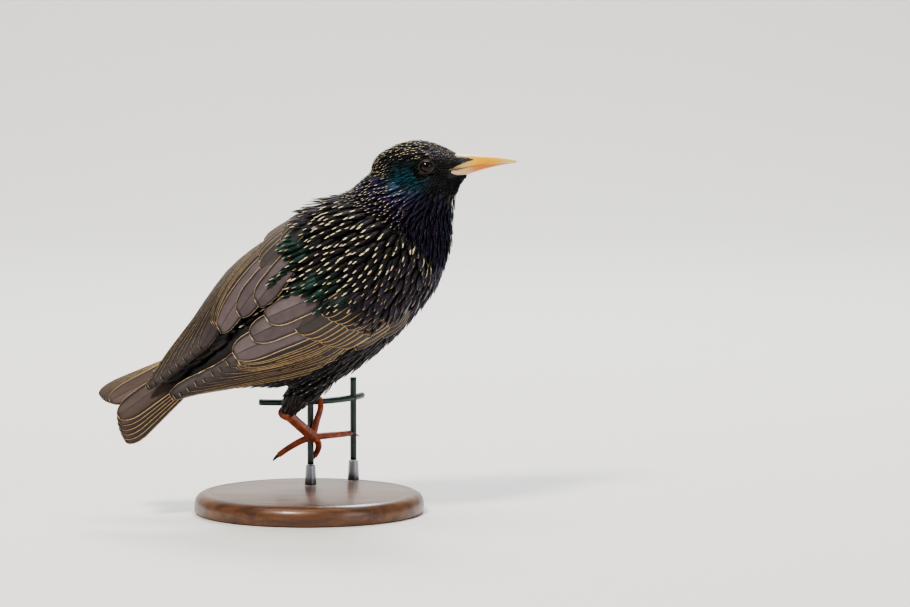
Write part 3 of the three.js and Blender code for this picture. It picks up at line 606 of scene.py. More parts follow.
def vertexPlaces(mesh):
    spots = np.empty(len(mesh.vertices) * 3, np.float32)
    mesh.vertices.foreach_get("co", spots)
    return spots.reshape(-1, 3).astype(float)


# feathers
def unwrap(points):  # each root's place on an unwrapping round the bird's own spine
    z = zones(points)
    fromSpine = np.degrees(np.arctan2(-z["away"], z["up"] - 60 + 0.2 * (z["x"] - 60)))
    front = z["isHead"] | z["isNeck"]
    turn = np.where(front, fromSpine, z["degrees"])
    u = 0.02 + 0.96 * ((turn / 360) % 1.0)
    v = np.where(front, 0.66 + 0.32 * np.clip((z["x"] + 0.5 * z["up"] - 55) / 70, 0, 1),
                 0.02 + 0.6 * np.clip((z["along"] + 82) / 165, 0, 1))
    return np.column_stack([u, v])


def meshFromRings(name, rings, floats, colors, roots):
    # rings: feathers x stations x points round; a closed thin body for each feather
    feathers, stations, sides, _ = rings.shape
    mesh = bpy.data.meshes.new(name)
    verts = rings.reshape(-1, 3)
    a = np.arange(sides)
    b = (a + 1) % sides
    wall = np.stack([a, b, b + sides, a + sides], -1)[None] + (np.arange(stations - 1) * sides)[:, None, None]
    half = sides // 2
    lid = np.stack([a[:half - 1], a[:half - 1] + 1, sides - 2 - a[:half - 1], sides - 1 - a[:half - 1]], -1)
    one = np.concatenate([wall.reshape(-1, 4), lid[:, ::-1], lid + (stations - 1) * sides])
    faces = (one[None] + (np.arange(feathers) * stations * sides)[:, None, None]).reshape(-1, 4)
    mesh.vertices.add(len(verts))
    mesh.vertices.foreach_set("co", verts.astype(np.float32).ravel())
    mesh.loops.add(faces.size)
    mesh.loops.foreach_set("vertex_index", faces.ravel().astype(np.int32))
    mesh.polygons.add(len(faces))
    mesh.polygons.foreach_set("loop_start", (np.arange(len(faces)) * 4).astype(np.int32))
    mesh.update(calc_edges=True)
    setAttributes(mesh, floats, colors)
    patch = 0.003
    uv = np.repeat(roots, stations * sides, axis=0) + patch * np.column_stack(
        [floats["across"].ravel() * 0.5, floats["along"].ravel() - 0.5])
    layer = mesh.uv_layers.new(name="OFBake")
    layer.data.foreach_set("uv", uv[faces.ravel()].astype(np.float32).ravel())
    mesh.shade_smooth()
    return link(name, mesh)


featherKinds = dict(  # spacing, length, half width, height of root and tip over the skin, in mm
    face=(0.75, 2.1, 0.42, 0.0, 0.6),
    head=(1.05, 3.4, 0.68, 0.0, 0.95),
    neck=(1.5, 5.6, 0.95, 0.2, 2.0),
    hackle=(1.5, 8.0, 0.75, 0.2, 2.2),
    mantle=(2.5, 8.5, 1.75, 0.5, 2.6),
    shoulder=(2.4, 8.5, 1.7, 0.5, 2.9),
    breast=(2.1, 9.0, 1.4, 0.3, 2.3),
    belly=(2.4, 9.5, 1.9, 0.2, 2.2),
    rump=(3.0, 12.0, 2.9, 0.3, 2.2),
    thigh=(1.6, 5.5, 1.1, 0.1, 1.4),
)
eyeSet = dict(x=67.3, z=63.9, radius=3.4, out=8.9)


def kindsOf(z, throat):
    names = list(featherKinds)
    ventral = ((np.abs(z["degrees"]) > 98) | ((np.abs(z["omega"]) > 86) & (z["along"] < 58))) & ~z["wing"]
    kind = np.full(len(z["x"]), names.index("mantle"))
    kind[z["trunk"] & (z["along"] < 2) & ~ventral] = names.index("rump")
    kind[z["wing"]] = names.index("shoulder")
    kind[z["trunk"] & ventral] = names.index("belly")
    kind[z["trunk"] & ~z["wing"] & (np.abs(z["degrees"]) > 70) & (z["along"] > 52)] = names.index("breast")
    kind[z["isNeck"]] = names.index("neck")
    kind[z["isNeck"] & (throat > 0.5)] = names.index("hackle")
    kind[z["isHead"]] = names.index("head")
    kind[z["isHead"] & (z["x"] > 70)] = names.index("face")
    kind[z["isHead"] & (z["up"] < 53)] = names.index("neck")
    kind[z["thigh"]] = names.index("thigh")
    return kind


def scatter(points, spacing):  # keeps points that are no closer than their spacing
    taken, kept = {}, []
    for i in rng.permutation(len(points)):
        spot = tuple(points[i] / mm)
        cell = tuple(math.floor(c) for c in spot)
        reach = range(-math.ceil(spacing[i]), math.ceil(spacing[i]) + 1)
        cells = (tuple(map(sum, zip(cell, step))) for step in itertools.product(reach, repeat=3))
        if all(math.dist(spot, other) >= spacing[i] for near in cells for other in taken.get(near, ())):
            taken.setdefault(cell, []).append(spot)
            kept.append(i)
    return np.array(kept)


flow = np.array([  # forward, up, and the way the feathers lie there, in the bird's plane
    (84, 64, -1, 0.1), (76, 70, -1, 0.25), (68, 75, -1, -0.1), (58, 74, -1, -0.45), (47, 67, -0.8, -0.8),
    (72, 62, -1, -0.1), (64, 62, -1, -0.25), (56, 60, -0.9, -0.6), (80, 58, -0.8, -0.6), (76, 50, -0.35, -1),
    (66, 52, -0.6, -0.9), (76, 38, -0.15, -1), (62, 42, -0.5, -0.9), (42, 56, -0.85, -0.6),
    (76, 24, -0.25, -1), (60, 28, -0.7, -0.75), (40, 40, -0.88, -0.5), (64, 6, -0.7, -0.75),
    (30, 20, -0.86, -0.5), (0, 0, -0.86, -0.5), (40, -6, -0.86, -0.5), (-30, -16, -0.86, -0.5),
], float)


def lieOf(z, normals, thigh):
    place = np.stack([z["x"], z["up"]], -1)
    weight = np.exp(-((place[:, None] - flow[None, :, :2]) ** 2).sum(-1) / (2 * 9.0**2)) + 1e-12
    mean = (weight[..., None] * flow[None, :, 2:]).sum(1) / weight.sum(1)[:, None]
    lie = turned(mean[:, 0], 0 * mean[:, 0], mean[:, 1])
    lie[thigh] = turned(-0.45, 0.1, -0.89)
    lie += rng.normal(0, 0.07, lie.shape)
    lie -= normals * (lie * normals).sum(-1, keepdims=True)
    return lie / np.linalg.norm(lie, axis=1, keepdims=True)


def makeCoat(skin, material):
    mesh = skin.data
    spots = vertexPlaces(mesh)
    polygons = [tuple(p.vertices) for p in mesh.polygons]
    tree = BVHTree.FromPolygons([Vector(s) for s in spots], polygons)
    vertexNormals = np.empty(len(spots) * 3, np.float32)
    mesh.vertices.foreach_get("normal", vertexNormals)
    vertexNormals = vertexNormals.reshape(-1, 3).astype(float)
    quads = np.array([p for p in polygons if len(p) == 4])
    shares = rng.random((len(quads) * 3, 2))
    picked = np.repeat(np.arange(len(quads)), 3)
    q = spots[quads[picked]]
    u, v = shares[:, :1], shares[:, 1:]
    points = (q[:, 0] * (1 - u) + q[:, 1] * u) * (1 - v) + (q[:, 3] * (1 - u) + q[:, 2] * u) * v
    normals = np.cross(q[:, 2] - q[:, 0], q[:, 3] - q[:, 1])
    normals /= np.linalg.norm(normals, axis=1, keepdims=True) + 1e-12
    z = zones(points)
    throat = markings(z)[4]
    kind = kindsOf(z, throat)
    table = np.array(list(featherKinds.values()))
    omega = np.abs(z["omega"])
    front = np.interp(omega, [0, 20, 38, 50, 100], [19, 24, 25, 37, 40])  # the first bare vane roots
    under = z["trunk"] & (z["along"] < front) & (omega > np.where(z["along"] < 14, 5, 13)) & (omega < 84)
    under &= z["along"] > -62
    barbLine = 62.6 + (z["x"] - 76.5) * 0.5  # bare horn below this line and above the chin
    bare = (z["x"] > 76.8) & (z["up"] < barbLine) & (z["up"] > 59.4 + 0.3 * (z["x"] - 79))
    closed = z["isHead"] & (bare | (z["x"] > 88))
    wide = np.hypot(z["x"] - eyeSet["x"], z["up"] - eyeSet["z"]) < 3.35
    hidden = under | closed | (wide & z["isHead"]) | (z["along"] < -58)
    thin = rng.random(len(points)) < np.clip(5 * (0.85 / table[kind, 0]) ** 2 / 3, 0.02, 1)
    keep = np.flatnonzero(~hidden & thin)
    keep = keep[scatter(points[keep], table[kind[keep], 0])]
    points, normals, kind = points[keep], normals[keep], kind[keep]
    z = zones(points)
    tint, pale, spot, gloss, throat = markings(z)
    spot = spot * np.where(z["isHead"], rng.random(len(spot)) < 0.78, rng.uniform(0.75, 1.1, len(spot)))
    film = rng.uniform(0.25, 1.35, (len(spot), 1))  # how strongly each feather's film lights up
    tint = np.clip(palette["soot"] + (tint - palette["soot"]) * film, 0, 1)
    lie = lieOf(z, normals, z["thigh"])
    count = len(points)
    length = table[kind, 1] * rng.uniform(0.88, 1.12, count) * mm
    half = table[kind, 2] * rng.uniform(0.9, 1.1, count) * mm
    # from here back the feathers lie over the roots of the vanes
    cover = np.interp(np.abs(z["omega"]), [0, 38, 50, 72, 82, 104], [28, 31, 46, 50, 58, 62])
    overVanes = z["wing"] & (z["along"] < cover)
    valley = z["trunk"] & (z["along"] < 14) & (np.abs(z["omega"]) < 20)  # flat between the wings
    high = np.where(overVanes, 5.0, np.where(valley, 1.0, table[kind, 4]))
    high = high * rng.uniform(0.85, 1.15, count) * mm
    low = table[kind, 3] * mm
    stations = np.array([0, 0.3, 0.6, 0.85, 1.0])
    widths = np.array([0.45, 0.95, 1.0, 0.62, 0.08])
    centre = np.empty((count, len(stations), 3))
    up = np.empty_like(centre)
    for i in range(count):
        for k, t in enumerate(stations):
            near = tree.find_nearest(Vector(points[i] + lie[i] * length[i] * t))
            centre[i, k], up[i, k] = near[0], vertexNormals[list(polygons[near[2]])].mean(0)
    up /= np.linalg.norm(up, axis=2, keepdims=True)
    height = low[:, None] + (high - low)[:, None] * stations[None] ** 0.8
    centre += up * height[..., None]
    ahead = np.gradient(centre, axis=1)
    across = np.cross(ahead, up)
    across /= np.linalg.norm(across, axis=2, keepdims=True) + 1e-12
    spread = (half[:, None] * widths[None])[..., None]
    droop = up * spread * 0.22  # both edges curl down
    crown = 0.12 * mm  # half the shaft's thickness
    rings = np.stack([centre - across * spread - droop, centre + up * crown, centre + across * spread - droop,
                      centre - up * (crown * 0.6)], 2)
    shape = rings.shape[:3]
    acrossValue = np.broadcast_to(np.array([-1.0, 0, 1.0, 0]), shape)
    alongValue = np.broadcast_to(stations[None, :, None], shape)
    eyeFar = np.hypot(unposed(rings)[0] - eyeSet["x"], unposed(rings)[2] - eyeSet["z"]).min((1, 2))
    ok = ~(z["isHead"] & (eyeFar < 2.9))
    sets = dict(headFeathers=z["isHead"], neckFeathers=z["isNeck"], bodyFeathers=z["trunk"],
                thighFeathers=z["thigh"])
    chance = rng.random(count)
    for name, mask in sets.items():
        pick = np.flatnonzero(mask & ok)
        size = shape[1] * shape[2]
        floats = dict(across=acrossValue[pick].ravel(), along=alongValue[pick].ravel(),
                      chance=np.repeat(chance[pick], size), spot=np.repeat(spot[pick], size),
                      gloss=np.repeat(gloss[pick], size))
        colors = dict(tint=np.repeat(tint[pick], size, 0), pale=np.repeat(pale[pick], size, 0))
        obj = meshFromRings(name, rings[pick], floats, colors, unwrap(points[pick]))
        finishPiece(obj, material, "plumage")
        print(name, len(pick), "feathers")


# wing and tail vanes
def featherRow(count, outer, inner, **same):  # values run from the outermost feather in
    rows = []
    for k in range(count):
        t = k / max(count - 1, 1)
        row = {key: np.array(outer[key], float) * (1 - t) + np.array(inner[key], float) * t for key in outer}
        rows.append({**same, **row})
    return rows


vaneThick = 0.26  # mm


def vaneRings(feathers, place):  # thin cambered vanes, seven points across on each face
    stations = np.concatenate([np.linspace(0, 0.85, 12), [0.9, 0.94, 0.97, 0.99, 1.0]])
    across = np.linspace(-1, 1, 7)
    rings = []
    for f in feathers:
        places = f, stations[:, None], across[None] * np.ones_like(stations)[:, None], vaneWidth(stations)
        rings.append(np.concatenate([place(*places, 0.0), place(*places, -vaneThick)[:, ::-1]], 1))
    shape = (len(feathers), len(stations), 14)
    values = np.broadcast_to(np.concatenate([across, across[::-1] * 0.86])[None, None], shape)  # dark below
    return np.stack(rings), values, np.broadcast_to(stations[None, :, None], shape)


def vaneWidth(t):  # a rounded blade: narrow root, full middle, blunt point
    return np.where(t < 0.25, 0.55 + 0.45 * np.sin(t / 0.25 * np.pi / 2), 1.0) * np.sqrt(
        np.clip(1 - np.clip((t - 0.72) / 0.285, 0, 1) ** 2.2, 0.0009, 1))


primarySteps = [0, 0.6, 3.5, 7.5, 12, 16, 20, 24, 28]
wingTips = dict(right=-54, left=-61)
flightColors = dict(  # the web and its pale edge
    primary=("#352b2a", "#d2b589"), secondary=("#2f2523", "#d3b485"), tertial=("#55494a", "#d6bd94"),
    covert=("#3b3231", "#c9a972"), median=("#1b181b", "#c2a06d"), rectrix=("#46352d", "#c9a878"),
    alula=("#2b2320", "#b99d75"),
)


def wingRows(tip):
    primaries = featherRow(len(primarySteps),
        dict(root=(30, 79), bend=(-4, 76), tip=(tip, 36), half=4.4, rise=1.8, sink=-0.3),
        dict(root=(26, 60), bend=(0, 52), tip=(tip, 22), half=4.6, rise=1.8, sink=-0.3),
        kind="primary", fringe=0.17, web=0.05)
    for f, step in zip(primaries, primarySteps):
        f["tip"][0] = tip + step
    return [
        *primaries,
        *featherRow(6, dict(root=(26, 62), bend=(4, 52), tip=(-23, 32), half=5, rise=2.1, sink=0.1),
                    dict(root=(24, 44), bend=(4, 38), tip=(-20, 24), half=5.2, rise=2.1, sink=0.1),
                    kind="secondary", fringe=0.24, web=0.2),
        *featherRow(3, dict(root=(22, 37), bend=(2, 28), tip=(-21, 18), half=6, rise=2.6, sink=1),
                    dict(root=(24, 20), bend=(12, 13), tip=(-1, 8), half=5.6, rise=3, sink=1.6),
                    kind="tertial", fringe=0.36, web=0.1),
        *featherRow(9, dict(root=(40, 80), bend=(30, 78), tip=(20, 74), half=3.9, rise=2.9, sink=1.5),
                    dict(root=(30, 36), bend=(19, 34), tip=(7, 30), half=4.6, rise=3.2, sink=1.8),
                    kind="covert", fringe=0.32, web=0.3),
        *featherRow(9, dict(root=(48, 83), bend=(41, 81), tip=(32, 78), half=3.2, rise=3.2, sink=2.1),
                    dict(root=(39, 38), bend=(30, 36), tip=(20, 33), half=3.5, rise=3.5, sink=2.4),
                    kind="median", fringe=0.34, web=0),
        *featherRow(5, dict(root=(50, 91), bend=(40, 87), tip=(24, 83), half=2.9, rise=2.5, sink=1.2),
                    dict(root=(49, 84), bend=(40, 80), tip=(31, 76), half=2.9, rise=2.9, sink=1.6),
                    kind="alula", fringe=0.24, web=0.1, dip=4.2),
        *featherRow(3, dict(root=(55, 96), bend=(47, 95), tip=(37, 91), half=2.7, rise=2.6, sink=1.3),
                    dict(root=(54, 90), bend=(48, 89), tip=(41, 86), half=2.6, rise=2.9, sink=1.7),
                    kind="alula", fringe=0.2, web=0.1, dip=4.6),
    ]


def onWing(side):
    def place(f, t, across, width, drop):
        a, b, c = (1 - t) ** 2, 2 * t * (1 - t), t * t
        at = a * f["root"][0] + b * f["bend"][0] + c * f["tip"][0] + f["slide"]
        turn = a * f["root"][1] + b * f["bend"][1] + c * f["tip"][1] + f["turn"]
        here = slipAt(at) + side * turn
        perDegree = np.linalg.norm(onSheet(at, here - 1, 0) - onSheet(at, here + 1, 0), axis=-1) / 2 / mm
        spread = f["half"] * width[:, None] / perDegree
        away = np.maximum(turn + across * spread, 1.2 + f["turn"])
        level = f["sink"] + (f["rise"] - f["sink"]) * (across + 1) / 2 + 0.3 * (1 - across**2)
        # the roots dip into the coat
        level = level - f.get("dip", 1.5) * np.clip(1 - t / 0.45, 0, 1) ** 1.5 + f["lie"]
        return onSheet(at + 0 * across, slipAt(at) + side * away, level + drop)
    return place


def onTail(f, t, across, width, drop):
    along = -42 + (f["tipAt"] + 42) * t
    right, back = bodyAxes(along)
    half = 5.6 * width[:, None]
    middle = f["side"] * (1.5 + f["k"] * 0.5 + (3.1 + f["k"] * 1.25) * t)
    r = middle + across * f["side"] * half
    crown = 1.9 - 0.62 * f["k"] - 0.012 * r * r + (0.3 if f["side"] > 0 else 0)
    crown = crown + 0.25 * (1 - across**2) + drop
    spot = turned(axisCos * along, 0 * along, axisSin * along)
    spot = spot + right * r[..., None] + back * crown[..., None]
    return (spot + pose["place"]) * mm


def makeVanes(name, feathers, place, material, slot, node):
    for f in feathers:
        f["fringe"] = f["fringe"] * (0.6 if name == "wingLeft" else 1)  # the far wing's pale edges are drawn narrower, which darkens it
        f.update(slide=rng.uniform(-0.5, 0.5), turn=rng.uniform(-0.7, 0.7), lie=rng.uniform(-0.08, 0.08))
    rings, across, along = vaneRings(feathers, place)
    size = rings.shape[1] * rings.shape[2]
    tint = np.array([linear(flightColors[f["kind"]][0])[:3] for f in feathers])
    pale = np.array([linear(flightColors[f["kind"]][1])[:3] for f in feathers])
    longMm = [abs(float(f["root"][0] - f["tip"][0])) for f in feathers]
    each = dict(chance=rng.random(len(feathers)), fringe=[f["fringe"] for f in feathers], longMm=longMm,
                web=[f["web"] for f in feathers], halfMm=[float(f["half"]) for f in feathers],
                gloss=[0.3 if f["kind"] == "median" else 0.12 for f in feathers])
    floats = dict(across=across.ravel(), along=along.ravel(),
                  **{key: np.repeat(values, size) for key, values in each.items()})
    colors = dict(tint=np.repeat(tint, size, 0), pale=np.repeat(pale, size, 0))
    obj = meshFromRings(name, rings, floats, colors, unwrap(rings[:, 0, 3]))
    print(name, len(feathers), "vanes")
    return finishPiece(obj, material, slot, node)


# bill, eyes, lids
bill = np.array([  # forward, ridge, mouth line, lower edge, half width
    (76, 68.4, 62.2, 59.6, 6.6), (79.5, 69.9, 62.8, 59.3, 5.6), (84, 69.6, 63.6, 60.5, 4.5),
    (90, 69.2, 64.6, 62.5, 3.4), (96, 68.7, 65.5, 64.1, 2.4), (101.5, 67.9, 66, 65.2, 1.5),
    (106, 66.8, 66.2, 65.8, 0.7),
], float)
nostril = dict(x=86.3, up=66.7, long=2.2, tall=0.75, deep=0.75)  # mm


def makeBill(upper, material):
    bm = bmesh.new()
    rings = []
    for x in np.linspace(bill[0, 0], bill[-1, 0], 30):
        ridge, mouth, keel, wide = (float(smooth(bill, k)(x)) for k in (1, 2, 3, 4))
        outer, inner = (ridge, mouth + 0.1) if upper else (keel, mouth - 0.1)
        turns = np.linspace(0, np.pi, 15)
        edge = 0.985 if upper else 0.93  # the upper half overhangs the lower
        bend = np.sin(turns) ** (0.85 if upper else 0.7)
        away, up = np.cos(turns) * wide * edge, inner + (outer - inner) * bend
        floor = np.cos(np.linspace(np.pi, 0, 7)[1:-1]) * wide * edge * 0.9
        rings.append(np.concatenate([posed(x, away, up), posed(x, floor, inner + 0 * floor)]))
    loft(bm, rings)
    obj = fromBmesh("billUpper" if upper else "billLower", bm)
    if upper:  # the nostril is a slit in a shallow groove
        spots = vertexPlaces(obj.data)
        x, away, up = unposed(spots)
        off = ((x - nostril["x"]) / nostril["long"]) ** 2 + ((up - nostril["up"]) / nostril["tall"]) ** 2
        dent = np.exp(-off) * nostril["deep"]
        away = away - np.sign(away) * dent * (np.abs(away) > 1)
        obj.data.vertices.foreach_set("co", posed(x, away, up).astype(np.float32).ravel())
        obj.data.update()
    return finishPiece(obj, material, "bill", "bill_upper" if upper else "bill_lower")


def makeEye(name, side, material):
    bm = bmesh.new()
    bmesh.ops.create_uvsphere(bm, u_segments=40, v_segments=28, radius=eyeSet["radius"] * mm)
    fromAxis = []
    centre = Vector(posed(eyeSet["x"], side * eyeSet["out"], eyeSet["z"]))
    outward = Vector(turned(0.12, side, 0.0)).normalized()
    for v in bm.verts:
        away = v.co.normalized()
        fromAxis.append(math.acos(max(-1, min(1, away.dot(outward)))))
    bmesh.ops.translate(bm, verts=bm.verts[:], vec=centre)
    obj = fromBmesh("eye" + name.capitalize(), bm)
    setAttributes(obj.data, dict(fromAxis=np.array(fromAxis)))
    return finishPiece(obj, material, "eye", "eye_" + name)


lidSet = dict(wide=3.0, tall=2.75, out=1.75, corners=0.3, roll=0.42)  # mm


def makeLids(name, side, material):  # an oval roll of bare skin, closer at its front and back
    bm = bmesh.new()
    turns = np.linspace(0, 2 * np.pi, 48, endpoint=False)
    out = eyeSet["out"] + lidSet["out"] - lidSet["corners"] * np.cos(turns) ** 2
    line = posed(eyeSet["x"] + lidSet["wide"] * np.cos(turns), side * out,
                 eyeSet["z"] + lidSet["tall"] * np.sin(turns))
    rings = []
    centre = Vector(line.mean(0))
    outward = Vector(turned(0.0, side, 0.0)).normalized()
    for spot in line:
        radial = (Vector(spot) - centre).normalized()
        rings.append([Vector(spot) + (radial * math.cos(t) + outward * math.sin(t)) * lidSet["roll"] * mm
                      for t in np.linspace(0, 2 * math.pi, 10, endpoint=False)])
    loft(bm, rings, closed=True)
    return finishPiece(fromBmesh("lids" + name.capitalize(), bm), material, "plumage")


# legs
balls = dict(right=(17, 43.3, -53), left=(10.5, 41.5, -34.6))
toes = dict(
    right=[[(15.2, 44, -53.6), (11, 45.2, -55.4), (5.6, 45.8, -58.6), (2, 46.3, -61.2)],
           [(17.6, 43.6, -51), (19, 44.7, -45.5), (20.5, 45.1, -40.5), (20, 46.3, -36)],
           [(18.5, 43.6, -53), (23.5, 46.7, -52.6), (28.7, 52.8, -52.3), (33.2, 59.3, -52)],
           [(18.4, 44, -54), (19.6, 46.8, -56.6), (19, 49.5, -59.4), (17.6, 50.3, -61.8)]],
    left=[[(10.1, 41, -36), (8.9, 40.6, -39.5), (9.1, 42.6, -42.6)],
          [(10, 42.4, -33.9), (8.2, 45.8, -33.7), (7.2, 49, -35.4)],
          [(10.9, 42.8, -33.8), (11, 46.4, -33.6), (11.2, 49.6, -36)],
          [(11.5, 42.2, -34), (13.6, 44.8, -33.8), (15.2, 48, -35.4)]],
)
clawTips = dict(right=[(-0.6, 47.4, -64), (17.8, 51.1, -35.4), (37.3, 62.1, -53.4), (15.6, 48.5, -65.2)],
                left=[(9.9, 46.2, -43.6), (6.6, 51.2, -39.2), (11.3, 50.8, -40.6), (16.6, 50.2, -39.6)])


legSet = dict(shank=2.25, heel=0.75, knuckle=0.35, flat=0.9, ball=2.75, toe=1.58, toeTip=1.2, claw=0.95)  # mm


def scaled(count, scutes, radius, tip):  # radii with a step at the end of every scute
    ts = np.linspace(0, 1, count)
    saw = (ts * scutes) % 1.0
    return (radius + (tip - radius) * ts) * (1 + 0.07 * saw**2) * mm


def makeLeg(name, scale, horn):
    line = thighs[name]
    heel, ball = np.array(line[2], float), np.array(balls[name], float)
    bm = bmesh.new()
    ts = np.linspace(-0.06, 0.97, 60)
    points = [posed(*(heel + (ball - heel) * t)) for t in ts]
    waist = legSet["shank"] + legSet["heel"] * np.exp(-(ts / 0.12) ** 2)
    waist = waist + legSet["knuckle"] * np.exp(-((ts - 1) / 0.14) ** 2)
    radii = waist * (1 + 0.05 * ((ts * 9) % 1.0) ** 2) * mm  # nine broad scutes
    loft(bm, tubeRings(points, radii, 18, legSet["flat"]))
    finishPiece(fromBmesh("shank" + name.capitalize(), bm), scale, "leg_scales", "tarsus_" + name)
    bm = bmesh.new()
    bmesh.ops.create_uvsphere(bm, u_segments=20, v_segments=14, radius=legSet["ball"] * mm,
                              matrix=Matrix.Translation(Vector(posed(*ball))))
    for k, toe in enumerate(toes[name]):
        path = spline([posed(*ball)] + [posed(*p) for p in toe], 56)
        loft(bm, tubeRings(path, scaled(56, 11, legSet["toe"], legSet["toeTip"]), 14))
        ahead = path[-1] - path[-3]
        ahead = ahead / np.linalg.norm(ahead)
        tip = posed(*clawTips[name][k])
        root, bend = path[-1] - ahead * 0.5 * mm, path[-1] + ahead * 2.4 * mm
        hook = bmesh.new()
        s = np.linspace(0, 1, 18)[:, None]
        curve = (1 - s) ** 2 * root + 2 * s * (1 - s) * bend + s * s * tip
        taper = np.interp(s[:, 0], [0, 0.5, 1], [legSet["claw"], 0.66, 0.12]) * mm
        loft(hook, tubeRings(curve, taper, 12, 0.8))
        finishPiece(fromBmesh(f"hook{name.capitalize()}{k + 1}", hook), horn, "claw", f"claw_{name}_{k + 1}")
    finishPiece(fromBmesh("toes" + name.capitalize(), bm), scale, "leg_scales", "foot_" + name)


# perch and stand
perch = dict(wire=1.4, radius=38, centre=(1.65 - 16, 77.4 - 22), ring=-42 + 88, angles=(22.2, 59.8), top=9,
             foot=9 + 9 + 0.3)


def onCage(degrees, height):
    turn = math.radians(degrees)
    return Vector((perch["centre"][0] + math.sin(turn) * perch["radius"],
                   perch["centre"][1] - math.cos(turn) * perch["radius"], height)) * mm


def makeWires(material):
    bm = bmesh.new()
    bend = [onCage(d, perch["ring"]) for d in np.linspace(-12, 74, 40)]
    loft(bm, tubeRings(bend, [perch["wire"] * mm] * 40, 16))
    for angle in perch["angles"]:
        low, high = onCage(angle, perch["foot"]), onCage(angle, perch["ring"] + perch["top"])
        steps = [low.lerp(high, t) for t in np.linspace(0, 1, 24)]
        loft(bm, tubeRings(steps, [perch["wire"] * mm] * 24, 16))
        weld = Matrix.Translation(onCage(angle, perch["ring"])) @ Matrix.Diagonal((1, 1, 0.9, 1))
        bmesh.ops.create_icosphere(bm, subdivisions=3, radius=1.75 * mm, matrix=weld)
    return finishPiece(fromBmesh("meshWires", bm), material, "coated_wire", "perch_wires")


def makeStand(wood, steel):
    bm = bmesh.new()
    outline = [(0, 0), (48.5, 0), (49.6, 0.5), (50, 1.5), (50, 4.6), (49.6, 6.2), (48.6, 7.6), (46.8, 8.6),
               (44.6, 9), (43.6, 8.75), (42.6, 9), (0, 9)]
    verts = [bm.verts.new((r * mm, 0, z * mm)) for r, z in outline]
    edges = [bm.edges.new(pair) for pair in zip(verts, verts[1:])]
    bmesh.ops.spin(bm, geom=verts + edges, axis=(0, 0, 1), cent=(0, 0, 0), steps=96, angle=2 * math.pi,
                   use_merge=True)
    bmesh.ops.remove_doubles(bm, verts=bm.verts[:], dist=1e-6)
    base = fromBmesh("turnedBase", bm)
    base.data.set_sharp_from_angle(angle=math.radians(35))
    finishPiece(base, wood, "base_wood", "stand_base")
    for i, angle in enumerate(perch["angles"]):
        bm = bmesh.new()
        line = [onCage(angle, h) for h in (9.3, 9.5, 13, 17.8, 18)]
        loft(bm, tubeRings(line, [2.5 * mm, 2.6 * mm, 2.35 * mm, 2.1 * mm, 1.9 * mm], 32))
        rod = fromBmesh("rod" + str(i + 1), bm)
        rod.data.set_sharp_from_angle(angle=math.radians(35))
        finishPiece(rod, steel, "rod_steel", "stand_rod_" + str(i + 1))


# make everything
plumage, flight = contourMaterial(), flightMaterial()
skin = makeSkin()
z = zones(vertexPlaces(skin.data))
setAttributes(skin.data, None, dict(tint=markings(z)[0]))
finishPiece(skin, skinMaterial(), "plumage", "torso", "neck", "head", "thigh_right", "thigh_left")
print("skin", len(skin.data.polygons), "faces")
makeCoat(skin, plumage)
for name, side in (("right", 1), ("left", -1)):
    makeVanes("wing" + name.capitalize(), wingRows(wingTips[name]), onWing(side), flight, "wing_feathers",
              "wing_" + name)
rectrices = [dict(kind="rectrix", fringe=0.3 if k == 0 else 0.13 + 0.035 * (1 + side), web=0.05, half=5.6,
                  root=(-42, 0), tip=(-81, 0), side=side, k=k, tipAt=-81 + 3 * (1 - k / 5) ** 2)
             for side in (1, -1) for k in range(6)]
makeVanes("tailFan", rectrices, onTail, flight, "tail_feathers", "tail")
print("wings and tail")
makeBill(True, billMaterial("billHornUpper", "#c9b070", "#d69a02", "#cfb05a"))
makeBill(False, billMaterial("billHornLower", "#c9b08c", "#cc6f06", "#c9a552"))
eyeWet, lidSkin = eyeMaterial(), scaleMaterial("lidSkin", "#0d0b0b", "#1a1514", 0.6)
for name, side in (("right", -1), ("left", 1)):
    makeEye(name, side, eyeWet)
    makeLids(name, side, lidSkin)
legScale = scaleMaterial("legScutes", "#a14a29", "#6e2f1c")
clawHorn = scaleMaterial("clawHorn", "#2a1d17", "#120c0a", 0.3)
for name in ("right", "left"):
    makeLeg(name, legScale, clawHorn)
makeWires(wireMaterial())
makeStand(woodMaterial(), steelMaterial())
print("bill, eyes, legs, perch and stand")


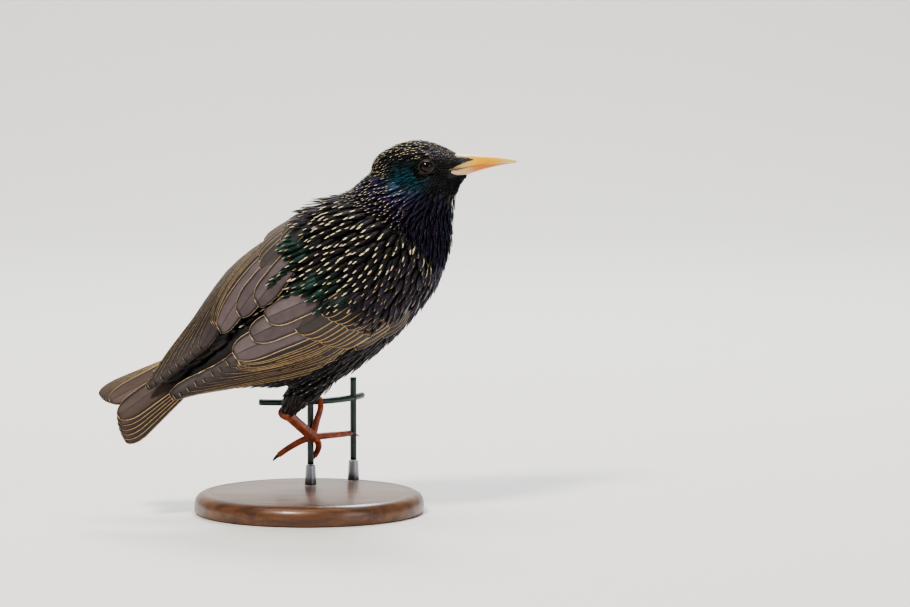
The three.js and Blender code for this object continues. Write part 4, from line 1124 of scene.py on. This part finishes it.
# stage, light, camera
def makeStage():  # paper that curves up behind the bird
    bm = bmesh.new()
    turns = np.linspace(0, math.pi / 2, 24)
    outline = [(-4, 0)] + [(1.4 + 1.2 * math.sin(t), 1.2 - 1.2 * math.cos(t)) for t in turns] + [(2.6, 5)]
    verts = [bm.verts.new((-6, y, h)) for y, h in outline]
    edges = [bm.edges.new(pair) for pair in zip(verts, verts[1:])]
    moved = bmesh.ops.extrude_edge_only(bm, edges=edges)["geom"]
    bmesh.ops.translate(bm, verts=[v for v in moved if isinstance(v, bmesh.types.BMVert)], vec=(12, 0, 0))
    floor = fromBmesh("studioFloor", bm)
    paper = newMaterial("paleStudioPaper", Roughness=0.9, Base_Color=linear("#e4e2de"))[0]
    floor.data.materials.append(paper)


def makeLight(name, place, aim, size, power, color="#ffffff"):
    lamp = bpy.data.lights.new(name, "AREA")
    lamp.shape, lamp.size, lamp.energy, lamp.color = "DISK", size, power, linear(color)[:3]
    obj = link(name, lamp)
    obj.location = place
    obj.rotation_euler = (Vector(aim) - Vector(place)).to_track_quat("-Z", "Y").to_euler()


def makeCamera():
    camera = link("camera", bpy.data.cameras.new("camera"))
    pxPerMm, distance = 2.327, 2100  # at the bird, and its distance in mm
    aim = posed((455 - 270) / pxPerMm, 0, (316 - 303.5) / pxPerMm)
    camera.location = Vector(aim) - Vector(turned(0, distance * mm, 0))
    camera.rotation_euler = (math.radians(90 - pose["lean"]), 0, 0)
    camera.data.angle = 2 * math.atan(910 / pxPerMm / 2 / distance)
    camera.data.clip_start, camera.data.clip_end = 0.05, 200
    bpy.context.scene.camera = camera


makeStage()
makeLight("key", (-0.55, -1.2, 1.5), (0, 0, 0.12), 0.35, 34, "#fff6ea")
makeLight("fill", (1.4, -1.3, 0.6), (0, 0, 0.1), 0.9, 7, "#eef3ff")
makeLight("rim", (0.2, 1.1, 1.4), (0, 0, 0.12), 0.6, 20, "#f4f8ff")
makeLight("paper", (0, 0.6, 2.6), (0, 2.2, 0.8), 2.5, 60, "#ffffff")
world = bpy.data.worlds.new("studio")
world.use_nodes = True
world.node_tree.nodes["Background"].inputs[0].default_value = linear("#e8ecef")
world.node_tree.nodes["Background"].inputs[1].default_value = 0.35
bpy.context.scene.world = world
bpy.context.scene.view_settings.view_transform = "AgX"
bpy.context.scene.view_settings.look = "AgX - Medium High Contrast"
makeCamera()
